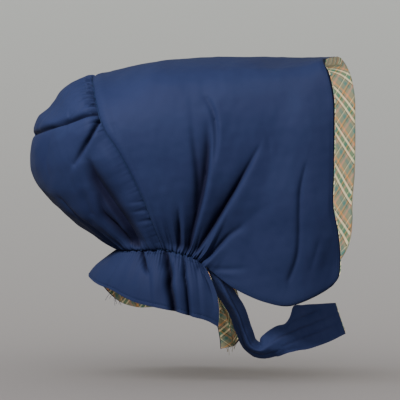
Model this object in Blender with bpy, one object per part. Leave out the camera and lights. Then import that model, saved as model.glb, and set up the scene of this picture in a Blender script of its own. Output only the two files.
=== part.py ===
"""Padded hood with a deep brim, a gathered crown, a neck curtain and two ties.

Lengths in the tables are millimetres in the hood's own frame: +X to the face, +Y to the
wearer's left, +Z up. The origin is where the head's crown touches the inside of the hood.
"""
import math

import bmesh
import bpy
import numpy as np

MM = 0.001

# Wall thicknesses.
BRIM_WALL = 6.0
CROWN_WALL = 6.0
CLOTH = 1.2
LINING = 1.1
GAP = 0.4
CURTAIN_GAP = 0.8
SEAM_GAP = 0.25

# Height that brings the inside top of the lining to the origin.
SEAT_RISE = 2.6

# Widths, lengths and counts.
NECK_SHARE = 0.48
NECK_PLEATS = 7
NECK_PLEAT_HEIGHT = 1.7
SHOULDER = 0.70
CROWN_GATHER_PITCH = 11.0
CROWN_GATHER_HEIGHT = 1.5
CROWN_PUFF = 3.0
FAR_SIDE_DROP = 12.0
FAR_BRIM_LIFT = 0.45

BRIM_COLUMNS_NECK = 21
BRIM_COLUMNS_FREE = 13
CROWN_COLUMNS = 36
CROWN_ROWS = 22
CURTAIN_FRONT_SWELL = 7.0
CURTAIN_COLUMNS = 60
CURTAIN_ROWS = 5

NAVY = (0.030, 0.055, 0.140, 1.0)
LINING_COLOUR = (0.300, 0.300, 0.190, 1.0)

# Crown seam, near half, from the neck up to the ridge: x, y, z.
SEAM = [
    (-7, -68, -183),
    (-15, -77, -161),
    (-24, -84, -135),
    (-39, -88, -103),
    (-51, -88, -82),
    (-62, -86, -66),
    (-69, -80, -51),
    (-73, -72, -40),
    (-77, -61, -31),
    (-81, -44, -22),
    (-86, -22, -15),
    (-88, 0, -13),
]

# Face rim, near half, from the lower corner up to the ridge: x, y, z.
RIM = [
    (164, -92, -215),
    (168.5, -92, -208.5),
    (171, -92, -191),
    (169, -96, -161),
    (165, -98, -140),
    (165, -99, -106),
    (165, -99, -62),
    (164, -98, -32),
    (161, -96, -17),
    (157, -91, -5),
    (153, -82, 2.5),
    (151, -66, 5.4),
    (151, -33, 5.8),
    (151.5, 0, 6),
]

# Ridge line of the brim: share of the way, x, z.
RIDGE = [
    (0.00, -88, -13),
    (0.06, -66, -7.3),
    (0.15, -35, -0.3),
    (0.25, 6, 4.9),
    (0.35, 56, 6.2),
    (0.50, 98, 5.9),
    (0.75, 128, 5.6),
    (1.00, 151.5, 6),
]

# Lower edge of the brim, near side, from the neck to the rim corner: share, x, y, z.
LOWER_EDGE = [
    (0.00, -7, -68, -183),
    (0.14, 6, -72, -186),
    (0.27, 17, -75, -188.5),
    (0.38, 27, -76, -192),
    (0.48, 36, -77, -199),
    (0.54, 51, -80, -210),
    (0.60, 65, -84, -219),
    (0.66, 80, -88, -226),
    (0.72, 96, -92, -231.5),
    (0.81, 122, -95, -235),
    (0.86, 136, -95, -230.5),
    (0.91, 148, -94, -225),
    (0.95, 156, -93, -220.5),
    (1.00, 164, -92, -215),
]

# Middle line of the crown, from the neck round the back to the ridge: x, z.
CROWN_BACK = [
    (-63, -186),
    (-84, -174),
    (-103, -162),
    (-118, -150),
    (-130, -138),
    (-141, -125),
    (-148, -110),
    (-151, -92),
    (-150, -77),
    (-147, -64),
    (-142, -54),
    (-132, -47),
    (-125, -39),
    (-118, -29),
    (-109, -21.5),
    (-99, -17.5),
    (-88, -13),
]

# Hem of the neck curtain, from the near front edge to the middle of the back: x, y, z.
CURTAIN_HEM = [
    (50, -86, -257),
    (40, -87, -251.5),
    (24, -88, -247),
    (9, -88.5, -242.5),
    (-7, -87, -239.5),
    (-18, -84.5, -237.5),
    (-34, -77, -234.5),
    (-49, -69, -229),
    (-61, -61, -223.5),
    (-76, -47, -219.5),
    (-88, -26, -214.5),
    (-94, 0, -211),
]

# How far back the far side of the brim lies: depth below the top, setback.
FAR_SETBACK = [
    (100, 0),
    (120, 0.6),
    (140, 2.5),
    (161, 6.6),
    (176, 10),
    (191, 16.5),
    (200, 23),
    (208, 31),
    (215, 37),
    (225, 40),
    (245, 41),
]

# Folds in side view: name, width, depth, lean, start strength, end strength, points (x, z).
# Lean above zero lifts the face side of the fold.
BRIM_FOLDS = [
    ("behind the fan", 7.0, 2.0, 0.2, 1.0, 0.1, [(7, -185), (10, -160), (10, -140)]),
    ("main fold", 8.0, 4.2, -0.5, 1.0, 0.25,
     [(15, -187), (24, -164), (33, -135), (39, -112), (44, -91), (45, -70), (42, -46)]),
    ("hollow behind the main fold", 9.0, 1.8, 0.0, 0.6, 0.3,
     [(12, -180), (18, -150), (24, -115), (27, -85), (24, -55)]),
    ("arc beside the main fold", 8.0, 1.8, 0.3, 0.3, 0.8,
     [(35, -22), (43, -34), (48, -49), (50, -64), (47, -83)]),
    ("long slant", 8.0, 3.8, 0.5, 1.0, 0.25,
     [(23, -188), (32, -176), (40, -164), (59, -137), (69, -122), (79, -104), (91, -80)]),
    ("low slant", 10.0, 2.4, 0.3, 1.0, 0.1, [(36, -192), (57, -171), (77, -157), (122, -131)]),
    ("level crease", 6.0, 1.2, 0.0, 1.0, 0.1, [(36, -200), (54, -201), (82, -198)]),
    ("rim crease", 10.0, 1.6, 0.4, 0.2, 0.7,
     [(141, -87), (135, -105), (133, -155), (130, -180), (124, -219)]),
]
CROWN_FOLDS = [
    ("top crease", 8.0, 3.6, 0.0, 1.0, 0.5, [(-72, -47), (-101, -57), (-150, -70)]),
    ("second crease", 7.5, 2.8, 0.0, 1.0, 0.2, [(-69, -53), (-76, -68), (-82, -80), (-96, -100)]),
    ("deep crease", 7.5, 4.0, -0.3, 1.0, 0.2,
     [(-37, -177), (-45, -159), (-57, -143), (-68, -124), (-81, -99)]),
    ("low crease", 7.5, 3.0, 0.2, 1.0, 0.2, [(-45, -175), (-63, -159), (-70, -146), (-74, -129)]),
]
CURTAIN_FOLDS = [
    ("rear fold", 6.0, 2.6, 0.0, 0.6, 1.0, [(-30, -184), (-24, -205), (-20, -240)]),
    ("deep fold", 5.5, 6.0, 0.0, 0.4, 1.0, [(-6, -186), (-1, -202), (5, -245)]),
    ("crisp fold", 5.0, 3.2, 0.4, 0.6, 0.8, [(14, -190), (16, -207), (20, -250)]),
    ("front fold", 6.0, 1.6, 0.0, 0.8, 0.6, [(30, -196), (34, -215), (36, -255)]),
    ("back fold", 8.0, 2.2, 0.0, 0.2, 1.0, [(-52, -184), (-60, -205), (-70, -225)]),
]

# Near tie, middle line and pose: x, y, z, width direction x, y, z, fold angle in degrees,
# half widths below and above the middle line.
TIE_RIGHT_PATH = [
    (49, -71.4, -203, 0.94, 0.20, 0.20, 58, 15.5, 15.5),
    (55, -70.6, -214, 0.94, 0.20, 0.25, 60, 15.5, 15.5),
    (60.5, -66, -230, 0.95, 0.16, 0.26, 60, 15.5, 15.5),
    (66.5, -58, -249, 0.95, 0.12, 0.28, 60, 15.5, 15.5),
    (72, -53, -267, 0.93, 0.08, 0.36, 60, 15.5, 15.5),
    (78, -50, -279.5, 0.72, 0.06, 0.69, 63, 15.5, 15.5),
    (87, -49, -283, 0.20, 0.05, 0.98, 61, 15.5, 15.5),
    (96, -49, -277.5, -0.16, 0.04, 0.98, 34, 15.5, 14.5),
    (108, -50, -270.5, -0.27, 0.03, 0.96, 12, 16, 13.5),
    (117, -50.6, -267, -0.27, 0.02, 0.96, 8, 17, 13),
    (121, -51, -265.5, -0.27, 0.02, 0.96, 7, 17.5, 16),
    (127, -51.5, -263.5, -0.27, 0.02, 0.96, 6, 18.5, 25),
    (138, -52.5, -259.5, -0.26, 0.02, 0.96, 5, 19, 24),
    (152, -54, -254.5, -0.24, 0.01, 0.97, 4, 18.5, 20),
    (167, -55, -249.5, -0.21, 0.00, 0.98, 4, 16, 16),
]
# Far tie, which hangs straight.
TIE_LEFT_PATH = [
    (27, 67.8, -199, 0.90, -0.30, 0.00, 42, 15.5, 15.5),
    (29, 66.6, -216, 0.90, -0.34, 0.02, 46, 15.5, 15.5),
    (34, 58, -242, 0.92, -0.36, 0.06, 54, 15.5, 15.5),
    (40, 53, -262, 0.90, -0.34, 0.20, 57, 15.5, 15.5),
    (43, 47, -279, 0.80, -0.26, 0.50, 56, 15.5, 15.5),
    (44, 45, -292, 0.72, -0.24, 0.62, 54, 15.5, 15.5),
]


def ease(start, end, value):
    """Return a smooth step from 0 at start to 1 at end."""
    share = np.clip((value - start) / (end - start), 0.0, 1.0)
    return share * share * (3.0 - 2.0 * share)


def spline(knots, values, at):
    """Return a smooth curve through rows of values placed at the knots."""
    knots = np.asarray(knots, float)
    values = np.asarray(values, float)
    steps = np.diff(knots)
    slopes = np.diff(values, axis=0) / steps[:, None]
    tangents = np.empty_like(values)
    tangents[0] = slopes[0]
    tangents[-1] = slopes[-1]
    before = steps[:-1, None]
    after = steps[1:, None]
    tangents[1:-1] = (slopes[:-1] * after + slopes[1:] * before) / (before + after)
    at = np.asarray(at, float)
    cell = np.clip(np.searchsorted(knots, at, side="right") - 1, 0, len(knots) - 2)
    width = steps[cell]
    s = ((at - knots[cell]) / width)[..., None]
    width = width[..., None]
    first = (2 * s**3 - 3 * s**2 + 1) * values[cell]
    second = (-2 * s**3 + 3 * s**2) * values[cell + 1]
    third = (s**3 - 2 * s**2 + s) * width * tangents[cell]
    fourth = (s**3 - s**2) * width * tangents[cell + 1]
    return first + second + third + fourth


def chord_knots(points):
    """Return the shares of the way along a row of points."""
    lengths = np.linalg.norm(np.diff(np.asarray(points, float), axis=0), axis=1)
    total = np.concatenate([[0.0], np.cumsum(lengths)])
    return total / total[-1]


def mirrored_curve(points, at):
    """Return a curve that meets its own mirror image squarely at the last point."""
    points = np.asarray(points, float)
    knots = chord_knots(points)
    extra = points[-2:-4:-1] * np.array([1.0, -1.0, 1.0])
    extra_knots = 2.0 - knots[-2:-4:-1]
    return spline(np.concatenate([knots, extra_knots]), np.concatenate([points, extra]), at)


def brim_near(u, t):
    """Return points of the near half of the brim surface, t from the lower edge to the ridge."""
    u, t = np.broadcast_arrays(u, t)
    seam = mirrored_curve(SEAM, t)
    rim = mirrored_curve(RIM, t)
    ridge_rows = np.asarray(RIDGE, float)
    ridge = spline(ridge_rows[:, 0], ridge_rows[:, 1:], u)
    ridge = np.stack([ridge[..., 0], np.zeros_like(ridge[..., 0]), ridge[..., 1]], -1)
    edge_rows = np.asarray(LOWER_EDGE, float)
    edge = spline(edge_rows[:, 0], edge_rows[:, 1:], u)
    up = (t * (2.0 - t))[..., None]
    on = u[..., None]
    corners = [np.asarray(rows, float) for rows in (SEAM[0], SEAM[-1], RIM[0], RIM[-1])]
    flat = (1 - on) * (1 - up) * corners[0] + (1 - on) * up * corners[1]
    flat = flat + on * (1 - up) * corners[2] + on * up * corners[3]
    return (1 - on) * seam + on * rim + (1 - up) * edge + up * ridge - flat


def brim_surface(u, t):
    """Return points of the whole brim surface, t from 0 at the near edge to 2 at the far edge."""
    u, t = np.broadcast_arrays(np.asarray(u, float), np.asarray(t, float))
    points = brim_near(u, np.where(t <= 1.0, t, 2.0 - t))
    points[..., 1] *= np.where(t <= 1.0, 1.0, -1.0)
    return points


def seam_curve(t):
    """Return points of the crown seam, t from 0 at the near neck to 2 at the far neck."""
    return brim_surface(0.0, t)


def crown_surface(a, w):
    """Return crown points, a from -1 near to 1 far, w from 0 at the neck to 1 at the top."""
    a, w = np.broadcast_arrays(np.asarray(a, float), np.asarray(w, float))
    angle = a * math.pi / 2
    leg = seam_curve(w * SHOULDER)
    knots = chord_knots(CROWN_BACK)
    middle = spline(knots, CROWN_BACK, w)
    around = np.cos(angle)
    x = leg[..., 0] + (middle[..., 0] - leg[..., 0]) * around
    z = leg[..., 2] + (middle[..., 1] - leg[..., 2]) * around**1.3
    y = -leg[..., 1] * np.sin(angle)
    points = np.stack([x, y, z], -1)
    top = seam_curve(1.0 + (1.0 - SHOULDER) * np.sin(angle))
    end_leg = seam_curve(SHOULDER)
    end_x = end_leg[0] + (CROWN_BACK[-1][0] - end_leg[0]) * around
    end_z = end_leg[2] + (CROWN_BACK[-1][1] - end_leg[2]) * around**1.3
    end = np.stack([end_x, -end_leg[1] * np.sin(angle), end_z], -1)
    return points + (w**3)[..., None] * (top - end)


def neck_curve(a):
    """Return neck seam points, a from -1 at the near front to 1 at the far front."""
    a = np.asarray(a, float)
    part = 0.67
    crown = crown_surface(np.clip(a / part, -1, 1), 0.0)
    share = np.clip((np.abs(a) - part) / (1 - part), 0, 1) * NECK_SHARE
    brim = brim_surface(share, np.where(a < 0, 0.0, 2.0))
    return np.where((np.abs(a) > part)[..., None], brim, crown)


def unit(vectors):
    """Return the vectors at length one."""
    return vectors / np.maximum(np.linalg.norm(vectors, axis=-1, keepdims=True), 1e-9)


def surface_normals(surface, u, v, limits_u, limits_v, outward):
    """Return unit normals of a surface function by small differences."""
    step = 0.004
    u, v = np.broadcast_arrays(np.asarray(u, float), np.asarray(v, float))
    across = surface(np.clip(u + step, *limits_u), v) - surface(np.clip(u - step, *limits_u), v)
    along = surface(u, np.clip(v + step, *limits_v)) - surface(u, np.clip(v - step, *limits_v))
    normals = unit(np.cross(across, along))
    sign = np.sign(np.sum(normals * outward, axis=-1, keepdims=True))
    return normals * np.where(sign == 0, 1, sign)


def neck_normals(a):
    """Return level outward directions along the neck seam."""
    a = np.asarray(a, float)
    tangent = neck_curve(np.clip(a + 0.01, -1, 1)) - neck_curve(np.clip(a - 0.01, -1, 1))
    flat = np.stack([tangent[..., 1], -tangent[..., 0], np.zeros_like(a)], -1)
    centre = np.array([0.0, 0.0, 0.0])
    outward = neck_curve(a) * np.array([1.0, 1.0, 0.0]) - centre
    sign = np.sign(np.sum(flat * outward, axis=-1, keepdims=True))
    return unit(flat * sign)


def fold_height(points, folds, far_shift=5.0, far_scale=0.8):
    """Return the height of the listed folds over surface points."""
    near = side_height(points, folds, 0.0)
    far = side_height(points, folds, far_shift) * far_scale
    share = ease(-14.0, 14.0, points[..., 1])
    return near * (1 - share) + far * share


def side_height(points, folds, shift):
    """Return the fold height of one side, read in side view."""
    x = points[..., 0] - shift
    z = points[..., 2]
    total = np.zeros(x.shape)
    for _, width, depth, lean, start, end, path in folds:
        path = np.asarray(path, float)
        shares = chord_knots(path)
        best = np.full(x.shape, 1e9)
        signed = np.zeros(x.shape)
        strength = np.zeros(x.shape)
        for k in range(len(path) - 1):
            first = path[k]
            run = path[k + 1] - first
            size = float(np.hypot(*run))
            on = np.clip(((x - first[0]) * run[0] + (z - first[1]) * run[1]) / size**2, 0, 1)
            dx = x - first[0] - on * run[0]
            dz = z - first[1] - on * run[1]
            distance = np.hypot(dx, dz)
            side = np.sign(dx * abs(run[1]) + 1e-9)
            closer = distance < best
            best = np.where(closer, distance, best)
            signed = np.where(closer, distance * side, signed)
            way = shares[k] + on * (shares[k + 1] - shares[k])
            strength = np.where(closer, start + (end - start) * way, strength)
        s = signed / width
        bell = np.exp(-s * s)
        total += depth * strength * bell * (-1.0 + 0.9 * s * s + lean * s)
    return total


def settle(points):
    """Return points with the far side hanging lower and further back."""
    x = points[..., 0]
    y = points[..., 1]
    z = points[..., 2]
    side = ease(0.0, 60.0, y)
    down = FAR_SIDE_DROP * side * ease(50.0, 230.0, -z)
    down = down * (1.0 - FAR_BRIM_LIFT * ease(60.0, 130.0, x))
    rows = np.asarray(FAR_SETBACK, float)
    depth = np.clip(-z, rows[0, 0], rows[-1, 0])
    back = spline(rows[:, 0], rows[:, 1:], depth)[..., 0] * side * ease(40.0, 130.0, x)
    return np.stack([x - back, y, z - down + SEAT_RISE], -1)


class Solid:
    """Collects points and faces of one closed body."""

    def __init__(self, name, colour, roughness):
        self.name = name
        self.colour = colour
        self.roughness = roughness
        self.points = []
        self.faces = []

    def add_grid(self, grid):
        """Add a grid of points with its faces and return the point numbers."""
        rows, columns = grid.shape[:2]
        start = len(self.points)
        self.points.extend(map(tuple, grid.reshape(-1, 3) * MM))
        numbers = np.arange(rows * columns).reshape(rows, columns) + start
        for i in range(rows - 1):
            for j in range(columns - 1):
                corners = (numbers[i, j], numbers[i + 1, j],
                           numbers[i + 1, j + 1], numbers[i, j + 1])
                self.faces.append(tuple(int(c) for c in corners))
        return numbers

    def add_strip(self, first, second):
        """Close the side between two rows of point numbers."""
        i = 0
        j = 0
        last_i = len(first) - 1
        last_j = len(second) - 1
        while i < last_i or j < last_j:
            if j == last_j or (i < last_i and (i + 1) * last_j <= (j + 1) * last_i):
                self.faces.append((int(first[i]), int(first[i + 1]), int(second[j])))
                i += 1
            else:
                self.faces.append((int(first[i]), int(second[j + 1]), int(second[j])))
                j += 1

    def add_slab(self, outer, inner):
        """Add a closed slab between an outer and an inner grid."""
        a = self.add_grid(outer)
        b = self.add_grid(inner)
        self.add_strip(a[0], b[0])
        self.add_strip(a[-1], b[-1])
        self.add_strip(a[:, 0], b[:, 0])
        self.add_strip(a[:, -1], b[:, -1])

    def build(self):
        """Make the object with its material and return it."""
        mesh = bpy.data.meshes.new(self.name)
        mesh.from_pydata(self.points, [], self.faces)
        shape = bmesh.new()
        shape.from_mesh(mesh)
        bmesh.ops.triangulate(shape, faces=shape.faces[:])
        bmesh.ops.recalc_face_normals(shape, faces=shape.faces[:])
        shape.to_mesh(mesh)
        shape.free()
        for face in mesh.polygons:
            face.use_smooth = True
        mesh.set_sharp_from_angle(angle=math.radians(50))
        material = bpy.data.materials.new(self.name + "_cloth")
        material.use_nodes = True
        shader = material.node_tree.nodes["Principled BSDF"]
        shader.inputs["Base Color"].default_value = self.colour
        shader.inputs["Roughness"].default_value = self.roughness
        mesh.materials.append(material)
        thing = bpy.data.objects.new(self.name, mesh)
        bpy.context.collection.objects.link(thing)
        return thing


def brim_rows():
    """Return the row places from the near edge over the ridge to the far edge."""
    half = [0.0, 0.012, 0.045, 0.10, 0.17, 0.24, 0.31, 0.38, 0.45, 0.52, 0.59, 0.65, SHOULDER,
            0.74, 0.78, 0.825, 0.88, 0.94, 1.0]
    return np.array(half + [2.0 - t for t in half[-2::-1]])


def brim_columns():
    """Return the column places from the crown seam to the rim."""
    neck = np.linspace(0, NECK_SHARE, BRIM_COLUMNS_NECK + 1)
    free = np.linspace(NECK_SHARE, 0.985, BRIM_COLUMNS_FREE)
    return np.concatenate([neck, free[1:], [1.0]])


def seam_normals(t):
    """Return directions shared by the brim and the crown along their seam."""
    t = np.asarray(t, float)
    outward = seam_curve(t) - np.array([40.0, 0.0, -90.0])
    brim = surface_normals(brim_surface, 0.0, t, (0, 1), (0, 2), outward)
    neck = neck_normals(np.where(t < 1.0, -0.67, 0.67))
    share = ease(0.12, 0.0, np.minimum(t, 2.0 - t))[..., None]
    return unit(brim * (1 - share) + neck * share)


def seam_polyline(t):
    """Return seam points and directions on the straight runs between the brim rows."""
    rows = brim_rows()
    points = seam_curve(rows)
    normals = seam_normals(rows)
    found = [np.interp(t, rows, points[:, k]) for k in range(3)]
    ways = [np.interp(t, rows, normals[:, k]) for k in range(3)]
    return np.stack(found, -1), np.stack(ways, -1)


def brim_layers():
    """Return the brim base points, directions and fold heights on the full grid."""
    u = brim_columns()[:, None]
    t = brim_rows()[None, :]
    base = brim_surface(u, t)
    outward = base - np.array([40.0, 0.0, -110.0])
    normals = surface_normals(brim_surface, u, t, (0, 1), (0, 2), outward)
    near_seam = ease(0.10, 0.0, u)[..., None]
    _, shared = seam_polyline(t)
    normals = unit(normals * (1 - near_seam) + shared * near_seam)
    low = np.minimum(t, 2.0 - t)
    neck_place = 0.67 + 0.33 * np.clip(u / NECK_SHARE, 0, 1)
    level = neck_normals(np.where(t < 1.0, -neck_place, neck_place))
    at_neck = (ease(0.10, 0.0, low) * ease(0.62, 0.50, u))[..., None]
    normals = unit(normals * (1 - at_neck) + level * at_neck)
    tangent = unit(brim_surface(0.01, t) - brim_surface(0.0, t))
    base = base + tangent * SEAM_GAP * ease(0.02, 0.0, u)[..., None]
    lift = (SEAM_GAP + 0.1) * ease(0.012, 0.0, low) * ease(0.56, 0.48, u)
    base[..., 2] += lift
    heights = fold_height(base, BRIM_FOLDS)
    gathers = np.cos(2 * math.pi * NECK_PLEATS * u / NECK_SHARE)
    fading = np.exp(-low / 0.10) * ease(0.52, 0.44, u)
    heights = heights + NECK_PLEAT_HEIGHT * gathers * fading
    heights = heights - 1.0 * ease(0.02, 0.0, u) - 1.3 * ease(0.99, 1.0, u)
    free = ease(0.46, 0.52, u)
    heights = heights - (1.0 + 0.3 * free) * ease(0.011, 0.0, low)
    return base, normals, np.maximum(heights, -4.2)


def make_brim():
    """Build the padded brim and its lining."""
    base, normals, heights = brim_layers()
    outer = base + normals * heights[..., None]
    keep = np.r_[0:len(base) - 1:3, len(base) - 1]
    base = base[keep]
    normals = normals[keep]
    rim = np.zeros(len(keep))
    rim[-1] = 0.8
    inner = base - normals * (BRIM_WALL - rim)[:, None, None]
    shell = Solid("brim", NAVY, 0.45)
    shell.add_slab(settle(outer), settle(inner))
    shell.build()
    lining = Solid("brim_lining", LINING_COLOUR, 0.8)
    face = inner - normals * GAP
    back = face - normals * LINING
    lining.add_slab(settle(face), settle(back))
    lining.build()


def crown_layers():
    """Return the crown base points, directions and fold heights on the full grid."""
    w = np.linspace(0, 1, CROWN_ROWS + 1)[None, :]
    a = np.linspace(-1, 1, CROWN_COLUMNS + 1)[:, None]
    base = crown_surface(a, w)
    outward = base - np.array([-40.0, 0.0, -100.0])
    normals = surface_normals(crown_surface, a, w, (-1, 1), (0, 1), outward)
    leg_points, leg_ways = seam_polyline(np.where(a < 0, w * SHOULDER, 2.0 - w * SHOULDER))
    top_points, top_ways = seam_polyline(1.0 + (1.0 - SHOULDER) * np.sin(a * math.pi / 2))
    at_leg = (np.abs(a) >= 1.0) & (w < 2.0)
    at_top = (w >= 1.0) & (np.abs(a) < 1.0)
    base = np.where(at_leg[..., None], leg_points, base)
    base = np.where(at_top[..., None], top_points, base)
    leg_share = ease(0.80, 1.0, np.abs(a))[..., None] * np.ones(base.shape[:2] + (1,))
    normals = unit(normals * (1 - leg_share) + leg_ways * leg_share)
    top_share = (ease(0.86, 1.0, w) * (np.abs(a) < 1.0))[..., None]
    normals = unit(normals * (1 - top_share) + top_ways * top_share)
    level = neck_normals(a * 0.67)
    at_neck = ease(0.12, 0.0, w)[..., None]
    normals = unit(normals * (1 - at_neck) + level * at_neck)
    away = unit(crown_surface(np.clip(a, -0.99, 0.99), np.minimum(w, 0.99)) - base + 1e-9)
    on_seam = (at_leg | at_top)[..., None]
    base = base + np.where(on_seam, away * SEAM_GAP * 2.2, 0.0)
    base[..., 2] += np.where(w <= 0.0, SEAM_GAP + 0.1, 0.0)
    t = np.linspace(0.0, 2.0, 161)
    seam = seam_curve(t)
    gaps = np.linalg.norm(base[..., None, :] - seam, axis=-1)
    nearest = gaps.argmin(-1)
    distance = gaps.min(-1)
    run = np.concatenate([[0], np.cumsum(np.linalg.norm(np.diff(seam, axis=0), axis=1))])
    place = run[nearest]
    upper = ease(0.42, 0.60, np.minimum(t[nearest], 2.0 - t[nearest]))
    gather = np.cos(2 * math.pi * place / CROWN_GATHER_PITCH) * upper
    heights = fold_height(base, CROWN_FOLDS, 0.0, 0.85)
    heights += CROWN_GATHER_HEIGHT * gather * np.exp(-((distance - 5.0) / 13.0)**2)
    heights += CROWN_PUFF * ease(0.0, 14.0, distance) * np.exp(-distance / 55.0)
    gathers = np.cos(2 * math.pi * a * 9)
    heights = heights + 1.3 * gathers * np.exp(-w / 0.10)
    heights = np.where(on_seam[..., 0], -1.0, heights)
    heights = np.where(w <= 0.0, np.minimum(heights, 0.0) - 1.0, heights)
    return base, normals, np.maximum(heights, -4.2)


def make_crown():
    """Build the padded crown."""
    base, normals, heights = crown_layers()
    outer = base + normals * heights[..., None]
    inner = (base - normals * CROWN_WALL)[::2, ::2]
    crown = Solid("crown", NAVY, 0.45)
    crown.add_slab(settle(outer), settle(inner))
    crown.build()


def curtain_surface(a, b):
    """Return neck curtain points, a round the neck and b from the neck to the hem."""
    a, b = np.broadcast_arrays(np.asarray(a, float), np.asarray(b, float))
    top = neck_curve(a)
    hem = mirrored_curve(CURTAIN_HEM, 1.0 - np.abs(a))
    hem[..., 1] *= np.where(a <= 0, 1.0, -1.0)
    far_wave = 13.0 * np.exp(-((a - 0.36) / 0.16)**2)
    hem[..., 2] -= far_wave * b
    share = b[..., None]
    points = top * (1 - share) + hem * share
    points[..., 0] += CURTAIN_FRONT_SWELL * ease(0.80, 1.0, np.abs(a)) * np.sin(b * math.pi)
    belly = (4.0 * np.sin(b * math.pi))[..., None]
    return points + neck_normals(a) * belly


def make_curtain():
    """Build the neck curtain and its lining."""
    a = np.linspace(-1, 1, CURTAIN_COLUMNS + 1)[:, None]
    b = np.linspace(0, 1, CURTAIN_ROWS + 1)[None, :]
    base = curtain_surface(a, b)
    outward = neck_normals(a) * np.ones(base.shape)
    normals = surface_normals(curtain_surface, a, b, (-1, 1), (0, 1), outward)
    share = ease(0.35, 0.0, b)[..., None]
    normals = unit(normals * (1 - share) + outward * share)
    base[..., 2] -= SEAM_GAP + 0.1
    heights = fold_height(base, CURTAIN_FOLDS, 6.0, 0.9)
    ripple = np.cos(2 * math.pi * a * 12) * 1.1 * (0.4 + 0.6 * np.sin(b * math.pi * 0.8))
    heights = heights + ripple - 0.8
    heights = heights * (0.25 + 0.75 * ease(0.0, 0.3, b))
    outer = base + normals * (heights - 0.6)[..., None]
    inner = outer - normals * CLOTH
    curtain = Solid("neck_curtain", NAVY, 0.45)
    curtain.add_slab(settle(outer), settle(inner))
    curtain.build()
    face = inner - normals * CURTAIN_GAP
    back = face - normals * LINING
    lining = Solid("neck_curtain_lining", LINING_COLOUR, 0.8)
    lining.add_slab(settle(face), settle(back))
    lining.build()


def make_tie(name, path, toward, steps, columns):
    """Build one tie and its lining, folded lengthwise along its path."""
    rows = np.asarray(path, float)
    knots = chord_knots(rows[:, :3])
    s = np.linspace(0, 1, steps + 1)
    values = spline(knots, rows, s)
    centre = values[:, :3]
    along = unit(np.gradient(centre, axis=0))
    wide = values[:, 3:6]
    wide = unit(wide - along * np.sum(wide * along, axis=1, keepdims=True))
    front = unit(np.cross(wide, along))
    front *= np.sign(np.sum(front * toward, axis=1, keepdims=True))
    angle = np.radians(values[:, 6])[:, None]
    k = np.linspace(-1, 1, columns + 1)[None, :]
    half = np.where(k < 0, values[:, 7:8], values[:, 8:9])
    soft = np.sqrt(k * k + 0.01) - 0.1
    side = (k * np.cos(angle) * half)[..., None]
    deep = (-soft * np.sin(angle) * half)[..., None]
    middle = centre[:, None] + wide[:, None] * side + front[:, None] * deep
    lean = (np.sin(angle) * np.clip(k * 4, -1, 1))[..., None]
    normals = unit(front[:, None] * np.cos(angle)[..., None] + wide[:, None] * lean)
    thick = CLOTH
    outer = middle + normals * thick / 2
    inner = middle - normals * thick / 2
    tie = Solid(name, NAVY, 0.5)
    tie.add_slab(outer + np.array([0, 0, SEAT_RISE]), inner + np.array([0, 0, SEAT_RISE]))
    tie.build()
    face = inner - normals * CURTAIN_GAP
    back = face - normals * LINING
    lining = Solid(name + "_lining", LINING_COLOUR, 0.8)
    lining.add_slab(face + np.array([0, 0, SEAT_RISE]), back + np.array([0, 0, SEAT_RISE]))
    lining.build()


def main():
    """Build every piece of the hood."""
    for thing in list(bpy.data.objects):
        bpy.data.objects.remove(thing, do_unlink=True)
    make_brim()
    make_crown()
    make_curtain()
    make_tie("tie_right", TIE_RIGHT_PATH, np.array([0.0, -1.0, 0.0]), 24, 4)
    make_tie("tie_left", TIE_LEFT_PATH, np.array([0.0, 1.0, 0.0]), 9, 4)


main()
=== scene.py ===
"""Looks of a padded costume hood: smooth navy cotton outside, woven plaid inside.

Lengths in the tables and fields are millimetres in the hood's own frame: +X to the face,
+Y to the wearer's left, +Z up. The base surfaces repeat the tables of the part's source,
and each piece of cloth hides the CAD node that it stands for.
"""

import logging
import math
from dataclasses import dataclass, field
from enum import Enum
from typing import Any, Callable, ClassVar, Optional, Sequence, Union

import bmesh
import bpy
import numpy as np
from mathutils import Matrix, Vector

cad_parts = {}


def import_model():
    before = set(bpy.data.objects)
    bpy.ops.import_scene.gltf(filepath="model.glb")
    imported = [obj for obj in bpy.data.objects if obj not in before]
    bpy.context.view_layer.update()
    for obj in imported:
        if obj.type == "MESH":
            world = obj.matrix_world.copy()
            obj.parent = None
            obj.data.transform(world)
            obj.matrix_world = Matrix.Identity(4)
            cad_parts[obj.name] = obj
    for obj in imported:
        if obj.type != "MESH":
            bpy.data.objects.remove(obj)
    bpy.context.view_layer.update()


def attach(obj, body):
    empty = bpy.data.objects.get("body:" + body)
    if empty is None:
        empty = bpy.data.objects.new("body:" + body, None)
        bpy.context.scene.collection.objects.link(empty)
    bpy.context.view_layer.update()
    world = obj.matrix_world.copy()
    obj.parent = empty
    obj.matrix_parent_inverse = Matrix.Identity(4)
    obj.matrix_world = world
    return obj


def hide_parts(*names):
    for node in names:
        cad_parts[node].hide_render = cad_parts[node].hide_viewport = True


MM = 0.001
LOG = logging.getLogger("hood")
Array = np.ndarray
Surface = Callable[[Array, Array], Array]
Pair = tuple[float, float]
Triple = tuple[float, float, float]
# Soft waves: height, shortest, longest, start of the random numbers.
Wave = tuple[float, float, float, int]


class Side(Enum):
    """The two sides of the hood; the near side is the wearer's right."""

    NEAR = -1.0
    FAR = 1.0


# Curves and directions


def ease(start: float, end: float, value: Array) -> Array:
    """Return a smooth step.

    Args:
        start: Value where the step is 0.
        end: Value where the step is 1.
        value: Where to read it.

    Returns:
        The step between 0 and 1.
    """
    share = np.clip((value - start) / (end - start), 0.0, 1.0)
    return share * share * (3.0 - 2.0 * share)


def fade(distance: Array, width: float) -> Array:
    """Return 1 at no distance, falling away over a width."""
    return np.exp(-distance / width)


def bell(value: Array, centre: Union[Array, float], width: float) -> Array:
    """Return a rounded peak of height 1 round a centre."""
    return np.exp(-((value - centre) / width)**2)


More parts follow.
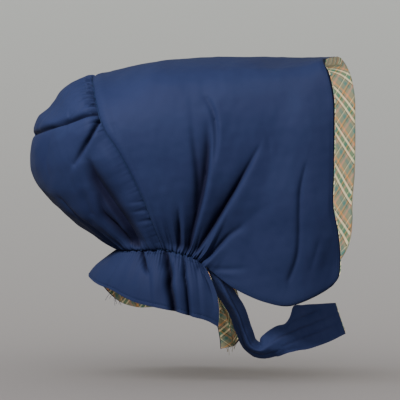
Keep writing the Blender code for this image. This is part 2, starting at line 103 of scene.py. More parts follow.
def rounded(size: Array, rounding: float) -> Array:
    """Return sizes with their sharp start at 0 rounded off."""
    return np.sqrt(size * size + rounding * rounding) - rounding


def groove(distance: Array, size: Pair) -> Array:
    """Return how deep a groove is at a distance, from its depth and width."""
    depth, width = size
    return depth * fade(distance, width)


def spline(knots: Array, values: Array, at: Array) -> Array:
    """Return a smooth curve through rows of values.

    Args:
        knots: Rising places of the rows.
        values: One row of numbers for each knot.
        at: Places to read.

    Returns:
        The rows at those places.
    """
    knots = np.asarray(knots, float)
    values = np.asarray(values, float)
    steps = np.diff(knots)
    slopes = np.diff(values, axis=0) / steps[:, None]
    tangents = np.empty_like(values)
    tangents[0] = slopes[0]
    tangents[-1] = slopes[-1]
    before = steps[:-1, None]
    after = steps[1:, None]
    tangents[1:-1] = (slopes[:-1] * after + slopes[1:] * before) / (before + after)
    at = np.asarray(at, float)
    cell = np.clip(np.searchsorted(knots, at, side="right") - 1, 0, len(knots) - 2)
    width = steps[cell]
    s = ((at - knots[cell]) / width)[..., None]
    width = width[..., None]
    first = (2 * s**3 - 3 * s**2 + 1) * values[cell]
    second = (-2 * s**3 + 3 * s**2) * values[cell + 1]
    third = (s**3 - 2 * s**2 + s) * width * tangents[cell]
    fourth = (s**3 - s**2) * width * tangents[cell + 1]
    return first + second + third + fourth


def chord_knots(points: Array) -> Array:
    """Return the shares of the way along a row of points.

    Args:
        points: Rows of x, y, z.

    Returns:
        Shares from 0 to 1.
    """
    lengths = np.linalg.norm(np.diff(np.asarray(points, float), axis=0), axis=1)
    total = np.concatenate([[0.0], np.cumsum(lengths)])
    return total / total[-1]


def mirrored_curve(points: Array, at: Array) -> Array:
    """Return a curve that meets its own mirror image squarely at the last point.

    Args:
        points: Rows of x, y, z.
        at: Shares of the way along.

    Returns:
        Points of the curve.
    """
    points = np.asarray(points, float)
    knots = chord_knots(points)
    extra = points[-2:-4:-1] * np.array([1.0, -1.0, 1.0])
    extra_knots = 2.0 - knots[-2:-4:-1]
    return spline(np.concatenate([knots, extra_knots]), np.concatenate([points, extra]), at)


def unit(vectors: Array) -> Array:
    """Return the vectors at length one."""
    return vectors / np.maximum(np.linalg.norm(vectors, axis=-1, keepdims=True), 1e-9)


def run_lengths(points: Array, axis: int) -> Array:
    """Return the distance run along one direction of a grid.

    Args:
        points: Grid of points.
        axis: 0 or 1.

    Returns:
        Distances, the same shape as the grid.
    """
    steps = np.linalg.norm(np.diff(points, axis=axis), axis=-1)
    start = np.zeros_like(np.take(steps, [0], axis=axis))
    return np.concatenate([start, np.cumsum(steps, axis=axis)], axis=axis)


def cloth_places(points: Array) -> Array:
    """Return the two cloth coordinates of each point of a grid."""
    return np.stack([run_lengths(points, 0), run_lengths(points, 1)], -1)


def every(step: int, last: int) -> Array:
    """Return every so many numbers from 0, and the last one."""
    return np.r_[0:last:step, last]


def nearest_on_line(spots: Array, line: Array) -> tuple[Array, Array]:
    """Find the nearest point of a line for each spot.

    Args:
        spots: Rows of x, y, z.
        line: Rows of x, y, z.

    Returns:
        The numbers of the points on the line, and the distances.
    """
    best = np.full(len(spots), 1e9)
    which = np.zeros(len(spots), int)
    for number, point in enumerate(line):
        gap = np.sum((spots - point)**2, axis=1)
        closer = gap < best
        best[closer] = gap[closer]
        which[closer] = number
    return which, np.sqrt(best)


def neighbours(grid: Array, axis: int, reach: int) -> list[Array]:
    """Return the grid moved by each step along an axis.

    Args:
        grid: Rows and columns of numbers.
        axis: 0 or 1.
        reach: Most steps either way.

    Returns:
        The moved grids, with their edges repeated.
    """
    edge = [(0, 0), (0, 0)]
    edge[axis] = (reach, reach)
    padded = np.pad(grid, edge, mode="edge")
    count = grid.shape[axis]
    return [np.take(padded, np.arange(count) + k, axis=axis) for k in range(2 * reach + 1)]


class HoodForm:
    """Base surfaces of the hood, the same as the solids'."""

    # Rise of the lining over the origin, and the gap left at each seam.
    SEAT_RISE: ClassVar[float] = 2.6
    CLOSE: ClassVar[float] = 0.12
    # Share of the brim's lower edge in the neck seam, and the crown's share of that seam.
    NECK_SHARE: ClassVar[float] = 0.48
    NECK_PART: ClassVar[float] = 0.67
    # Share of the crown seam along the crown's sides, and how flat its back is rounded.
    SHOULDER: ClassVar[float] = 0.70
    BACK_ROUNDING: ClassVar[float] = 1.3
    # Points inside the hood, from which its outer faces look away.
    INSIDE_BRIM: ClassVar[Array] = np.array([40.0, 0.0, -110.0])
    INSIDE_SEAM: ClassVar[Array] = np.array([40.0, 0.0, -90.0])
    INSIDE_CROWN: ClassVar[Array] = np.array([-40.0, 0.0, -100.0])
    # Sag of the far side: drop, share of it that the brim holds up, and where each sets in.
    FAR_SIDE_DROP: ClassVar[float] = 12.0
    FAR_BRIM_LIFT: ClassVar[float] = 0.45
    SIDE_REACH: ClassVar[Pair] = (0.0, 60.0)
    DROP_REACH: ClassVar[Pair] = (50.0, 230.0)
    LIFT_REACH: ClassVar[Pair] = (60.0, 130.0)
    SETBACK_REACH: ClassVar[Pair] = (40.0, 130.0)
    # Curtain: swell at its front edges, belly, and the far hem's extra drop, place and width.
    FRONT_SWELL: ClassVar[float] = 7.0
    CURTAIN_BELLY: ClassVar[float] = 4.0
    FRONT_REACH: ClassVar[Pair] = (0.80, 1.0)
    FAR_HEM: ClassVar[Triple] = (13.0, 0.36, 0.16)

    # How far back the far side of the brim lies: depth below the top, setback.
    FAR_SETBACK: ClassVar[Array] = np.array([
        (100, 0), (120, 0.6), (140, 2.5), (161, 6.6), (176, 10), (191, 16.5), (200, 23), (208, 31),
        (215, 37), (225, 40), (245, 41),
    ], float)

    # Crown seam, near half, from the neck up to the ridge: x, y, z.
    SEAM: ClassVar[Array] = np.array([
        (-7, -68, -183), (-15, -77, -161), (-24, -84, -135), (-39, -88, -103), (-51, -88, -82),
        (-62, -86, -66), (-69, -80, -51), (-73, -72, -40), (-77, -61, -31), (-81, -44, -22),
        (-86, -22, -15), (-88, 0, -13),
    ], float)
    # Face rim, near half, from the lower corner up to the ridge: x, y, z.
    RIM: ClassVar[Array] = np.array([
        (164, -92, -215), (168.5, -92, -208.5), (171, -92, -191), (169, -96, -161),
        (165, -98, -140), (165, -99, -106), (165, -99, -62), (164, -98, -32), (161, -96, -17),
        (157, -91, -5), (153, -82, 2.5), (151, -66, 5.4), (151, -33, 5.8), (151.5, 0, 6),
    ], float)
    # Ridge line of the brim: share of the way, x, z.
    RIDGE: ClassVar[Array] = np.array([
        (0.00, -88, -13), (0.06, -66, -7.3), (0.15, -35, -0.3), (0.25, 6, 4.9), (0.35, 56, 6.2),
        (0.50, 98, 5.9), (0.75, 128, 5.6), (1.00, 151.5, 6),
    ], float)
    # Lower edge of the brim, near side, from the neck to the rim corner: share, x, y, z.
    LOWER_EDGE: ClassVar[Array] = np.array([
        (0.00, -7, -68, -183), (0.14, 6, -72, -186), (0.27, 17, -75, -188.5), (0.38, 27, -76, -192),
        (0.48, 36, -77, -199), (0.54, 51, -80, -210), (0.60, 65, -84, -219), (0.66, 80, -88, -226),
        (0.72, 96, -92, -231.5), (0.81, 122, -95, -235), (0.86, 136, -95, -230.5),
        (0.91, 148, -94, -225), (0.95, 156, -93, -220.5), (1.00, 164, -92, -215),
    ], float)
    # Middle line of the crown, from the neck round the back to the ridge: x, z.
    CROWN_BACK: ClassVar[Array] = np.array([
        (-63, -186), (-84, -174), (-103, -162), (-118, -150), (-130, -138), (-141, -125),
        (-148, -110), (-151, -92), (-150, -77), (-147, -64), (-142, -54), (-132, -47), (-125, -39),
        (-118, -29), (-109, -21.5), (-99, -17.5), (-88, -13),
    ], float)
    # Hem of the neck curtain, from the near front edge to the middle of the back: x, y, z.
    CURTAIN_HEM: ClassVar[Array] = np.array([
        (50, -86, -257), (40, -87, -251.5), (24, -88, -247), (9, -88.5, -242.5), (-7, -87, -239.5),
        (-18, -84.5, -237.5), (-34, -77, -234.5), (-49, -69, -229), (-61, -61, -223.5),
        (-76, -47, -219.5), (-88, -26, -214.5), (-94, 0, -211),
    ], float)

    def _brim_near(self, u: Array, t: Array) -> Array:
        """Return points of the near half of the brim.

        Args:
            u: 0 at the crown seam to 1 at the rim.
            t: 0 at the lower edge to 1 at the ridge.

        Returns:
            Points.
        """
        u, t = np.broadcast_arrays(u, t)
        seam = mirrored_curve(self.SEAM, t)
        rim = mirrored_curve(self.RIM, t)
        ridge = spline(self.RIDGE[:, 0], self.RIDGE[:, 1:], u)
        ridge = np.stack([ridge[..., 0], np.zeros_like(ridge[..., 0]), ridge[..., 1]], -1)
        edge = spline(self.LOWER_EDGE[:, 0], self.LOWER_EDGE[:, 1:], u)
        up = (t * (2.0 - t))[..., None]
        on = u[..., None]
        flat = (1 - on) * (1 - up) * self.SEAM[0] + (1 - on) * up * self.SEAM[-1]
        flat = flat + on * (1 - up) * self.RIM[0] + on * up * self.RIM[-1]
        return (1 - on) * seam + on * rim + (1 - up) * edge + up * ridge - flat

    def brim(self, u: Array, t: Array) -> Array:
        """Return points of the whole brim.

        Args:
            u: 0 at the crown seam to 1 at the rim.
            t: 0 at the near edge to 2 at the far edge.

        Returns:
            Points.
        """
        u, t = np.broadcast_arrays(np.asarray(u, float), np.asarray(t, float))
        points = self._brim_near(u, np.where(t <= 1.0, t, 2.0 - t))
        points[..., 1] *= np.where(t <= 1.0, 1.0, -1.0)
        return points

    def seam(self, t: Array) -> Array:
        """Return points of the crown seam, t from 0 at the near neck to 2 at the far neck."""
        return self.brim(np.zeros_like(np.asarray(t, float)), t)

    def crown(self, a: Array, w: Array) -> Array:
        """Return points of the crown.

        Args:
            a: -1 near to 1 far.
            w: 0 at the neck to 1 at the top.

        Returns:
            Points.
        """
        a, w = np.broadcast_arrays(np.asarray(a, float), np.asarray(w, float))
        angle = a * math.pi / 2
        leg = self.seam(w * self.SHOULDER)
        middle = spline(chord_knots(self.CROWN_BACK), self.CROWN_BACK, w)
        around = np.cos(angle)
        x = leg[..., 0] + (middle[..., 0] - leg[..., 0]) * around
        z = leg[..., 2] + (middle[..., 1] - leg[..., 2]) * around**self.BACK_ROUNDING
        y = -leg[..., 1] * np.sin(angle)
        points = np.stack([x, y, z], -1)
        top = self.seam(1.0 + (1.0 - self.SHOULDER) * np.sin(angle))
        end_leg = self.seam(np.array(self.SHOULDER))
        end_x = end_leg[0] + (self.CROWN_BACK[-1][0] - end_leg[0]) * around
        end_z = end_leg[2] + (self.CROWN_BACK[-1][1] - end_leg[2]) * around**self.BACK_ROUNDING
        end = np.stack([end_x, -end_leg[1] * np.sin(angle), end_z], -1)
        return points + (w**3)[..., None] * (top - end)

    def neck(self, a: Array) -> Array:
        """Return neck seam points, a from -1 at the near front to 1 at the far front.

        Args:
            a: Places round the neck.

        Returns:
            Points.
        """
        a = np.asarray(a, float)
        part = self.NECK_PART
        crown = self.crown(np.clip(a / part, -1, 1), np.zeros_like(a))
        share = np.clip((np.abs(a) - part) / (1 - part), 0, 1) * self.NECK_SHARE
        brim = self.brim(share, np.where(a < 0, 0.0, 2.0))
        return np.where((np.abs(a) > part)[..., None], brim, crown)

    def neck_ways(self, a: Array) -> Array:
        """Return level outward directions along the neck seam.

        Args:
            a: Places round the neck.

        Returns:
            Unit directions.
        """
        a = np.asarray(a, float)
        tangent = self.neck(np.clip(a + 0.01, -1, 1)) - self.neck(np.clip(a - 0.01, -1, 1))
        flat = np.stack([tangent[..., 1], -tangent[..., 0], np.zeros_like(a)], -1)
        outward = self.neck(a) * np.array([1.0, 1.0, 0.0])
        return unit(flat * np.sign(np.sum(flat * outward, axis=-1, keepdims=True)))

    def ways(self, surface: Surface, u: Array, v: Array, limits: Sequence[Pair],
             outward: Array) -> Array:
        """Return unit normals of a surface by small differences.

        Args:
            surface: Function of two grids of numbers.
            u: First grid.
            v: Second grid.
            limits: Lowest and highest value of each.
            outward: Directions on the outer side.

        Returns:
            Unit normals.
        """
        step = 0.004
        u, v = np.broadcast_arrays(np.asarray(u, float), np.asarray(v, float))
        across = surface(np.clip(u + step, *limits[0]), v)
        across = across - surface(np.clip(u - step, *limits[0]), v)
        along = surface(u, np.clip(v + step, *limits[1]))
        along = along - surface(u, np.clip(v - step, *limits[1]))
        normals = unit(np.cross(across, along))
        sign = np.sign(np.sum(normals * outward, axis=-1, keepdims=True))
        return normals * np.where(sign == 0, 1, sign)

    def seam_ways(self, t: Array) -> Array:
        """Return directions shared by the brim and the crown along their seam.

        Args:
            t: Places along the seam.

        Returns:
            Unit directions.
        """
        t = np.asarray(t, float)
        outward = self.seam(t) - self.INSIDE_SEAM
        brim = self.ways(self.brim, np.zeros_like(t), t, [(0, 1), (0, 2)], outward)
        neck = self.neck_ways(np.where(t < 1.0, -self.NECK_PART, self.NECK_PART))
        share = ease(0.12, 0.0, np.minimum(t, 2.0 - t))[..., None]
        return unit(brim * (1 - share) + neck * share)

    def settle(self, points: Array) -> Array:
        """Return points with the far side hanging lower and further back.

        Args:
            points: Points of the even hood.

        Returns:
            Points of the hood as it hangs.
        """
        x = points[..., 0]
        y = points[..., 1]
        z = points[..., 2]
        side = ease(*self.SIDE_REACH, y)
        down = self.FAR_SIDE_DROP * side * ease(*self.DROP_REACH, -z)
        down = down * (1.0 - self.FAR_BRIM_LIFT * ease(*self.LIFT_REACH, x))
        depth = np.clip(-z, self.FAR_SETBACK[0, 0], self.FAR_SETBACK[-1, 0])
        back = spline(self.FAR_SETBACK[:, 0], self.FAR_SETBACK[:, 1:], depth)[..., 0]
        back = back * side * ease(*self.SETBACK_REACH, x)
        return np.stack([x - back, y, z - down + self.SEAT_RISE], -1)

    def curtain(self, a: Array, b: Array) -> Array:
        """Return neck curtain points.

        Args:
            a: Way round the neck, -1 to 1.
            b: 0 at the neck to 1 at the hem.

        Returns:
            Points.
        """
        a, b = np.broadcast_arrays(np.asarray(a, float), np.asarray(b, float))
        hem = mirrored_curve(self.CURTAIN_HEM, 1.0 - np.abs(a))
        hem[..., 1] *= np.where(a <= 0, 1.0, -1.0)
        drop, place, width = self.FAR_HEM
        hem[..., 2] -= drop * bell(a, place, width) * b
        share = b[..., None]
        points = self.neck(a) * (1 - share) + hem * share
        points[..., 0] += self.FRONT_SWELL * ease(*self.FRONT_REACH, np.abs(a)) * np.sin(b * math.pi)
        belly = self.CURTAIN_BELLY * np.sin(b * math.pi)
        return points + self.neck_ways(a) * belly[..., None]


# Folds and gathers


@dataclass(frozen=True)
class Fold:
    """One fold of the cloth, a valley with a raised edge, drawn in side view.

    Rear is the side towards the crown, and front the side towards the face.
    """

    name: str
    path: tuple[Pair, ...]
    depth: float
    rear: float
    front: float
    ridge: float = 0.0
    ridge_at: float = 6.0
    ridge_width: float = 4.0
    strengths: tuple[float, ...] = (1.0, 0.2)
    crease: float = 0.0
    crease_width: float = 1.3
    on_far_side: bool = True


@dataclass(frozen=True)
class Gather:
    """One size of the small gathers that a seam draws up."""

    count: float
    height: float
    reach: float
    phase: float = 0.0
    wobble: float = 0.0
    wobble_count: float = 9.0

    def over(self, place: Array, away: Array) -> Array:
        """Return the heights of the gathers.

        Args:
            place: Places along the seam.
            away: Shares of the way from it.

        Returns:
            Heights.
        """
        turn = 2 * math.pi * self.count * place + self.wobble * np.sin(self.wobble_count * place)
        return self.height * np.cos(turn + self.phase) * fade(away, self.reach)


@dataclass
class Relief:
    """Heights of folds, gathers and soft waves over a grid of surface points."""

    LINE_STEP: ClassVar[float] = 0.9
    LINE_EVEN: ClassVar[int] = 4
    VALLEY_ROUNDING: ClassVar[float] = 0.9
    CREASE_ROUNDING: ClassVar[float] = 0.4
    TAIL: ClassVar[float] = 6.0
    RIDGE_FOOT: ClassVar[float] = 0.55
    WAVES: ClassVar[int] = 26
    WAVE_GAIN: ClassVar[float] = 1.6
    # How far a fold is worked out: in its own widths, and a margin.
    REACH: ClassVar[float] = 3.2
    MARGIN: ClassVar[float] = 6.0

    points: Array
    normals: Array
    heights: Array = field(init=False)

    def __post_init__(self) -> None:
        """Start with no height anywhere."""
        self.heights = np.zeros(self.points.shape[:-1])

    def lay(self, folds: Sequence[Fold], far_shift: float = 5.0, far_scale: float = 0.8) -> None:
        """Lay folds on both sides.

        Args:
            folds: The folds.
            far_shift: How far forward they lie on the far side.
            far_scale: Their depth on the far side.
        """
        for fold in folds:
            self._lay_one(fold, Side.NEAR, 0.0, 1.0)
            if fold.on_far_side:
                self._lay_one(fold, Side.FAR, far_shift, far_scale)

    def _lay_one(self, fold: Fold, side: Side, shift: float, scale: float) -> None:
        """Lay one fold on one side of the hood.

        Args:
            fold: The fold.
            side: The side.
            shift: How far forward it lies.
            scale: Share of its depth.
        """
        flat = self.points.reshape(-1, 3)
        ways = self.normals.reshape(-1, 3)
        on_side = flat[:, 1] * side.value > 0
        path = np.asarray(fold.path, float) + np.array([shift, 0.0])
        knots = chord_knots(path)
        length = np.linalg.norm(np.diff(path, axis=0), axis=1).sum()
        count = max(6, int(length / self.LINE_STEP))
        shares = np.linspace(0, 1, count)
        line = spline(knots, path, shares)
        reach = self.REACH * max(fold.rear, fold.front, fold.ridge_width)
        reach += abs(fold.ridge_at) + self.MARGIN
        near = on_side & (flat[:, 0] > line[:, 0].min() - reach)
        near &= (flat[:, 0] < line[:, 0].max() + reach) & (flat[:, 2] > line[:, 1].min() - reach)
        near &= flat[:, 2] < line[:, 1].max() + reach
        places = np.flatnonzero(near)
        if not len(places):
            LOG.info("%s: no cloth there", fold.name)
            return
        spots = flat[places]
        seen = spots[:, [0, 2]]
        closest = [int(np.argmin(np.sum((seen - p)**2, axis=1))) for p in line]
        line3 = np.stack([line[:, 0], spots[closest, 1], line[:, 1]], -1)
        window = 2 * self.LINE_EVEN + 1
        padded = np.pad(line3[:, 1], self.LINE_EVEN, mode="edge")
        line3[:, 1] = np.convolve(padded, np.ones(window) / window, "valid")
        across3 = ways[places][closest]
        tangent = unit(np.gradient(line3, axis=0))
        over = unit(np.cross(across3, tangent))
        over *= np.where(over[:, :1] < 0, -1.0, 1.0)
        which, _ = nearest_on_line(spots, line3)
        offset = spots - line3[which]
        run = np.sum(offset * tangent[which], axis=1)
        aside = np.sum(offset * over[which], axis=1)
        beyond = np.where(which == 0, np.minimum(run, 0.0), 0.0)
        beyond = np.where(which == count - 1, np.maximum(run, 0.0), beyond)
        size = np.hypot(aside, beyond)
        width = np.where(aside < 0, fold.rear, fold.front)
        valley = fade(rounded(size, self.VALLEY_ROUNDING), width)
        crease = fade(rounded(size, self.CREASE_ROUNDING), fold.crease_width)
        past = (aside - fold.ridge_at) * math.copysign(1.0, fold.ridge_at)
        slope = np.where(past < 0, self.RIDGE_FOOT * abs(fold.ridge_at), fold.ridge_width)
        crest = bell(past, 0.0, slope) * bell(beyond, 0.0, self.TAIL)
        way = np.clip(shares[which] + run / max(length, 1.0), 0.0, 1.0)
        strength = np.interp(way, np.linspace(0, 1, len(fold.strengths)), fold.strengths)
        added = fold.ridge * crest - fold.depth * valley - fold.crease * crease
        added = added * strength * scale
        out = self.heights.reshape(-1)
        out[places] += added
        self.heights = out.reshape(self.heights.shape)

    def blend(self) -> None:
        """Even the heights out between neighbours, so that no fold has a ragged edge."""
        for axis in (0, 1):
            before, here, after = neighbours(self.heights, axis, 1)
            self.heights = 0.25 * before + 0.5 * here + 0.25 * after

    def soften(self, deepest: float) -> None:
        """Keep valleys from going deeper than a limit, without a hard stop."""
        low = np.minimum(self.heights, 0.0)
        self.heights = np.where(self.heights < 0, -deepest * np.tanh(-low / deepest), self.heights)

    def waves(self, height: float, shortest: float, longest: float, seed: int,
              share: Union[Array, float] = 1.0) -> None:
        """Add soft irregular waves.

        Args:
            height: Rough height of the waves.
            shortest: Shortest wave.
            longest: Longest wave.
            seed: Start of the random numbers.
            share: Share of the height that shows, which may vary over the surface.
        """
        dice = np.random.RandomState(seed)
        total = np.zeros(self.points.shape[:-1])
        for _ in range(self.WAVES):
            way = unit(dice.normal(size=3))
            length = math.exp(dice.uniform(math.log(shortest), math.log(longest)))
            phase = dice.uniform(0, 2 * math.pi)
            total += np.sin(self.points @ way * (2 * math.pi / length) + phase) * length / longest
        self.heights = self.heights + total * height * share * self.WAVE_GAIN / math.sqrt(self.WAVES)

    def raised(self) -> Array:
        """Return the surface points with the heights added."""
        return self.points + self.normals * self.heights[..., None]


def push_behind(heights: Array, allowed: float, reach: int) -> Array:
    """Return how far an inner face moves in, so that deep valleys keep cloth behind them.

    Args:
        heights: Heights of the outer face.
        allowed: Depth that the wall takes up by itself.
        reach: How many cells round a valley move with it.

    Returns:
        Distances, none below 0.
    """
    deep = np.maximum(-heights - allowed, 0.0)
    for spread in (np.max, np.mean):
        for axis in (0, 1):
            deep = spread(neighbours(deep, axis, reach), axis=0)
    return deep


# Meshes


class Shell:
    """Collects the points and faces of one closed cloth piece."""

    # Angle in degrees above which an edge stays sharp.
    SHARP: ClassVar[float] = 60.0
    # Depths of a valley where its painted crease shade starts and where it is full.
    CREASE_SHADE_DEPTHS: ClassVar[Pair] = (1.0, 9.0)

    def __init__(self) -> None:
        """Start with nothing."""
        self.points: list[Array] = []
        self.cloth: list[Array] = []
        # Share of painted crease shade at each point.
        self.hollow: list[Array] = []
        self.faces: list[tuple[int, ...]] = []
        self.slots: list[int] = []
        self.count = 0

    def add_points(self, points: Array, cloth: Optional[Array] = None,
                   heights: Optional[Array] = None) -> Array:
        """Add a grid of points.

        Args:
            points: Rows and columns of points in millimetres.
            cloth: Two cloth coordinates in millimetres for each point, or none.
            heights: Heights of the relief, whose valleys get painted crease shade.

        Returns:
            The numbers of the points.
        """
        rows, columns = points.shape[:2]
        numbers = np.arange(rows * columns).reshape(rows, columns) + self.count
        self.points.append(points.reshape(-1, 3) * MM)
        flat = np.zeros((rows * columns, 3))
        if cloth is not None:
            flat[:, :2] = cloth.reshape(-1, 2)
        self.cloth.append(flat)
        # Painted shade: the deeper a valley, the darker its colour is painted.
        deep = np.zeros(rows * columns) if heights is None else -heights.reshape(-1)
        self.hollow.append(ease(*self.CREASE_SHADE_DEPTHS, deep))
        self.count += rows * columns
        return numbers

    def add_quads(self, numbers: Array, slot: int = 0) -> None:
        """Add the faces between a grid of point numbers, with one material.

        Args:
            numbers: Rows and columns of point numbers.
            slot: Number of the material.
        """
        quads = np.stack([numbers[:-1, :-1], numbers[1:, :-1], numbers[1:, 1:], numbers[:-1, 1:]], -1)
        quads = quads.reshape(-1, 4)
        self.faces.extend(map(tuple, quads.tolist()))
        self.slots.extend([slot] * len(quads))

    def strip(self, first: Array, second: Array) -> None:
        """Close the side between two rows of point numbers.

        Args:
            first: One row.
            second: The other row, which may have fewer points.
        """
        i = 0
        j = 0
        last_i = len(first) - 1
        last_j = len(second) - 1
        while i < last_i or j < last_j:
            if j == last_j or (i < last_i and (i + 1) * last_j <= (j + 1) * last_i):
                self.faces.append((int(first[i]), int(first[i + 1]), int(second[j])))
                i += 1
            else:
                self.faces.append((int(first[i]), int(second[j + 1]), int(second[j])))
                j += 1
            self.slots.append(0)

    def wall(self, shown: Array, hidden: Array, cloth: Array, under: Optional[Array] = None,
             slot: int = 0, heights: Optional[Array] = None) -> None:
        """Add the two faces of a wall and close its four sides.

        Args:
            shown: Grid of points of the first face.
            hidden: Grid of points of the second face.
            cloth: Cloth coordinates of the first face.
            under: Those of the second face, where they differ.
            slot: Number of the second face's material.
            heights: Heights of the first face's relief, which set its painted crease shade.
        """
        first = self.add_points(shown, cloth, heights)
        self.add_quads(first)
        second = self.add_points(hidden, cloth if under is None else under)
        self.add_quads(second, slot)
        for side in (np.s_[0], np.s_[-1], np.s_[:, 0], np.s_[:, -1]):
            self.strip(first[side], second[side])

    def build(self, name: str, materials: Sequence[bpy.types.Material]) -> bpy.types.Object:
        """Make the object.

        Args:
            name: Name of the piece.
            materials: Materials by slot number.

        Returns:
            The object, in the scene.
        """
        mesh = bpy.data.meshes.new(name)
        mesh.from_pydata(np.concatenate(self.points).tolist(), [], self.faces)
        for material in materials:
            mesh.materials.append(material)
        mesh.polygons.foreach_set("material_index", self.slots)
        cloth = mesh.attributes.new("cloth", "FLOAT_VECTOR", "POINT")
        cloth.data.foreach_set("vector", np.concatenate(self.cloth).astype(np.float32).ravel())
        # The hollow attribute carries the painted crease shade to the material.
        hollow = mesh.attributes.new("hollow", "FLOAT", "POINT")
        hollow.data.foreach_set("value", np.concatenate(self.hollow).astype(np.float32))
        shape = bmesh.new()
        shape.from_mesh(mesh)
        bmesh.ops.recalc_face_normals(shape, faces=shape.faces[:])
        for face in shape.faces:
            face.smooth = True
        shape.to_mesh(mesh)
        shape.free()
        mesh.set_sharp_from_angle(angle=math.radians(self.SHARP))
        thing = bpy.data.objects.new(name, mesh)
        bpy.context.collection.objects.link(thing)
        return thing


@dataclass
class ThreadWork:
    """Short lengths of thread as thin closed tubes in one mesh."""

    # Height of a stitch's middle over the cloth, and the height that no thread goes below.
    LIFT: ClassVar[float] = 0.18
    LOWEST: ClassVar[float] = -299.0
    # A direction that no thread runs along.
    HELPER: ClassVar[Array] = np.array([0.31, 0.87, 0.38])
    # One stitch: shares of its length, and of its height there.
    STITCH_PLACES: ClassVar[Array] = np.array([0.0, 0.2, 0.5, 0.8, 1.0])
    STITCH_RISE: ClassVar[Array] = np.array([-0.25, 0.6, 1.0, 0.6, -0.25])
    # Bare threads: lean, curl, half turns of the curl, share inside the cloth, end thickness.
    LEAN: ClassVar[float] = 0.3
    CURL: ClassVar[Array] = np.array([0.12, 0.12, 0.0])
    CURL_TURNS: ClassVar[Pair] = (1.5, 3.6)
    ROOT: ClassVar[float] = 0.06
    BARE_TAPER: ClassVar[float] = 0.8

    radius: float = 0.22
    sides: int = 5
    shell: Shell = field(default_factory=Shell)

    def strand(self, path: Array, taper: float = 0.35) -> None:
        """Add one length of thread.

        Args:
            path: Points along its middle in millimetres.
            taper: Thickness of its ends as a share.
        """
        path = np.asarray(path, float)
        along = unit(np.gradient(path, axis=0))
        first = unit(np.cross(along, self.HELPER))
        second = np.cross(along, first)
        share = np.linspace(0, 1, len(path))
        thick = taper + (1 - taper) * np.sqrt(np.clip(1 - (2 * share - 1)**4, 0, 1))
        turns = np.linspace(0, 2 * math.pi, self.sides, endpoint=False)
        ring = first[:, None] * np.cos(turns)[None, :, None]
        ring = ring + second[:, None] * np.sin(turns)[None, :, None]
        points = path[:, None] + ring * (self.radius * thick)[:, None, None]
        shell = self.shell
        numbers = shell.add_points(points)
        shell.add_quads(np.concatenate([numbers, numbers[:, :1]], axis=1))
        shell.faces.extend([tuple(numbers[0].tolist()), tuple(numbers[-1][::-1].tolist())])
        shell.slots.extend([0, 0])

    def row(self, line: Array, ways: Array, pitch: float = 3.2, length: float = 2.1) -> None:
        """Add a row of running stitches along a line.

        Args:
            line: Points along the row in millimetres.
            ways: Outward directions there.
            pitch: From one stitch to the next.
            length: Length of one stitch.
        """
        run = run_lengths(line, 0)
        for k in range(int(run[-1] / pitch)):
            places = k * pitch + self.STITCH_PLACES * length
            spots = np.stack([np.interp(places, run, line[:, c]) for c in range(3)], -1)
            up = np.stack([np.interp(places, run, ways[:, c]) for c in range(3)], -1)
            height = self.STITCH_RISE * self.LIFT
            self.strand(spots + unit(up) * height[:, None])

    def fray(self, edge: Array, count: int, shortest: float, longest: float, seed: int) -> None:
        """Add bare threads that hang from a raw edge.

        Args:
            edge: Points along the edge in millimetres.
            count: How many threads.
            shortest: Length of the shortest.
            longest: Length of the longest.
            seed: Start of the random numbers.
        """
        dice = np.random.RandomState(seed)
        share = np.linspace(0, 1, 9)[:, None]
        for _ in range(count):
            start = edge[dice.randint(0, len(edge))]
            length = min(dice.uniform(shortest, longest), start[2] - self.LOWEST)
            way = unit(np.array([dice.normal() * self.LEAN, dice.normal() * self.LEAN, -1.0]))
            curl = dice.normal(size=3) * self.CURL * length
            bend = np.sin(share * dice.uniform(*self.CURL_TURNS))
            out = share * (1.0 + self.ROOT) - self.ROOT
            self.strand(start + way * length * out + curl * bend, self.BARE_TAPER)

    def build(self, name: str, material: bpy.types.Material, slot: str) -> bpy.types.Object:
        """Make one piece of all its threads.

        Args:
            name: Name of the piece.
            material: Its material.
            slot: Name of the material slot, passed on to place_piece.

        Returns:
            The piece.
        """
        threads = self.shell.build(name, [material])
        place_piece(threads, slot)
        return threads


# Materials

Number = Union[int, float]


class Value:
    """A number that varies over the surface, as one node socket."""

    def __init__(self, painter: "Painter", socket: bpy.types.NodeSocket) -> None:
        """Wrap a socket of a painter's node tree."""
        self.painter = painter
        self.socket = socket

    def _do(self, operation: str, *parts: Union["Value", Number]) -> "Value":
        """Return the result of a Math node."""
        return self.painter.math(operation, *parts)

    def __add__(self, other: Union["Value", Number]) -> "Value":
        """Return the sum."""
        return self._do("ADD", self, other)

    __radd__ = __add__

    def __sub__(self, other: Union["Value", Number]) -> "Value":
        """Return the difference."""
        return self._do("SUBTRACT", self, other)

    def __rsub__(self, other: Union["Value", Number]) -> "Value":
        """Return the difference the other way round."""
        return self._do("SUBTRACT", other, self)

    def __mul__(self, other: Union["Value", Number]) -> "Value":
        """Return the product."""
        return self._do("MULTIPLY", self, other)

    __rmul__ = __mul__

    def __truediv__(self, other: Union["Value", Number]) -> "Value":
        """Return the quotient."""
        return self._do("DIVIDE", self, other)

    def __rtruediv__(self, other: Union["Value", Number]) -> "Value":
        """Return the quotient the other way round."""
        return self._do("DIVIDE", other, self)

    def wave(self) -> "Value":
        """Return the sine."""
        return self._do("SINE", self)

    def fraction(self) -> "Value":
        """Return the part after the point."""
        return self._do("FRACT", self)


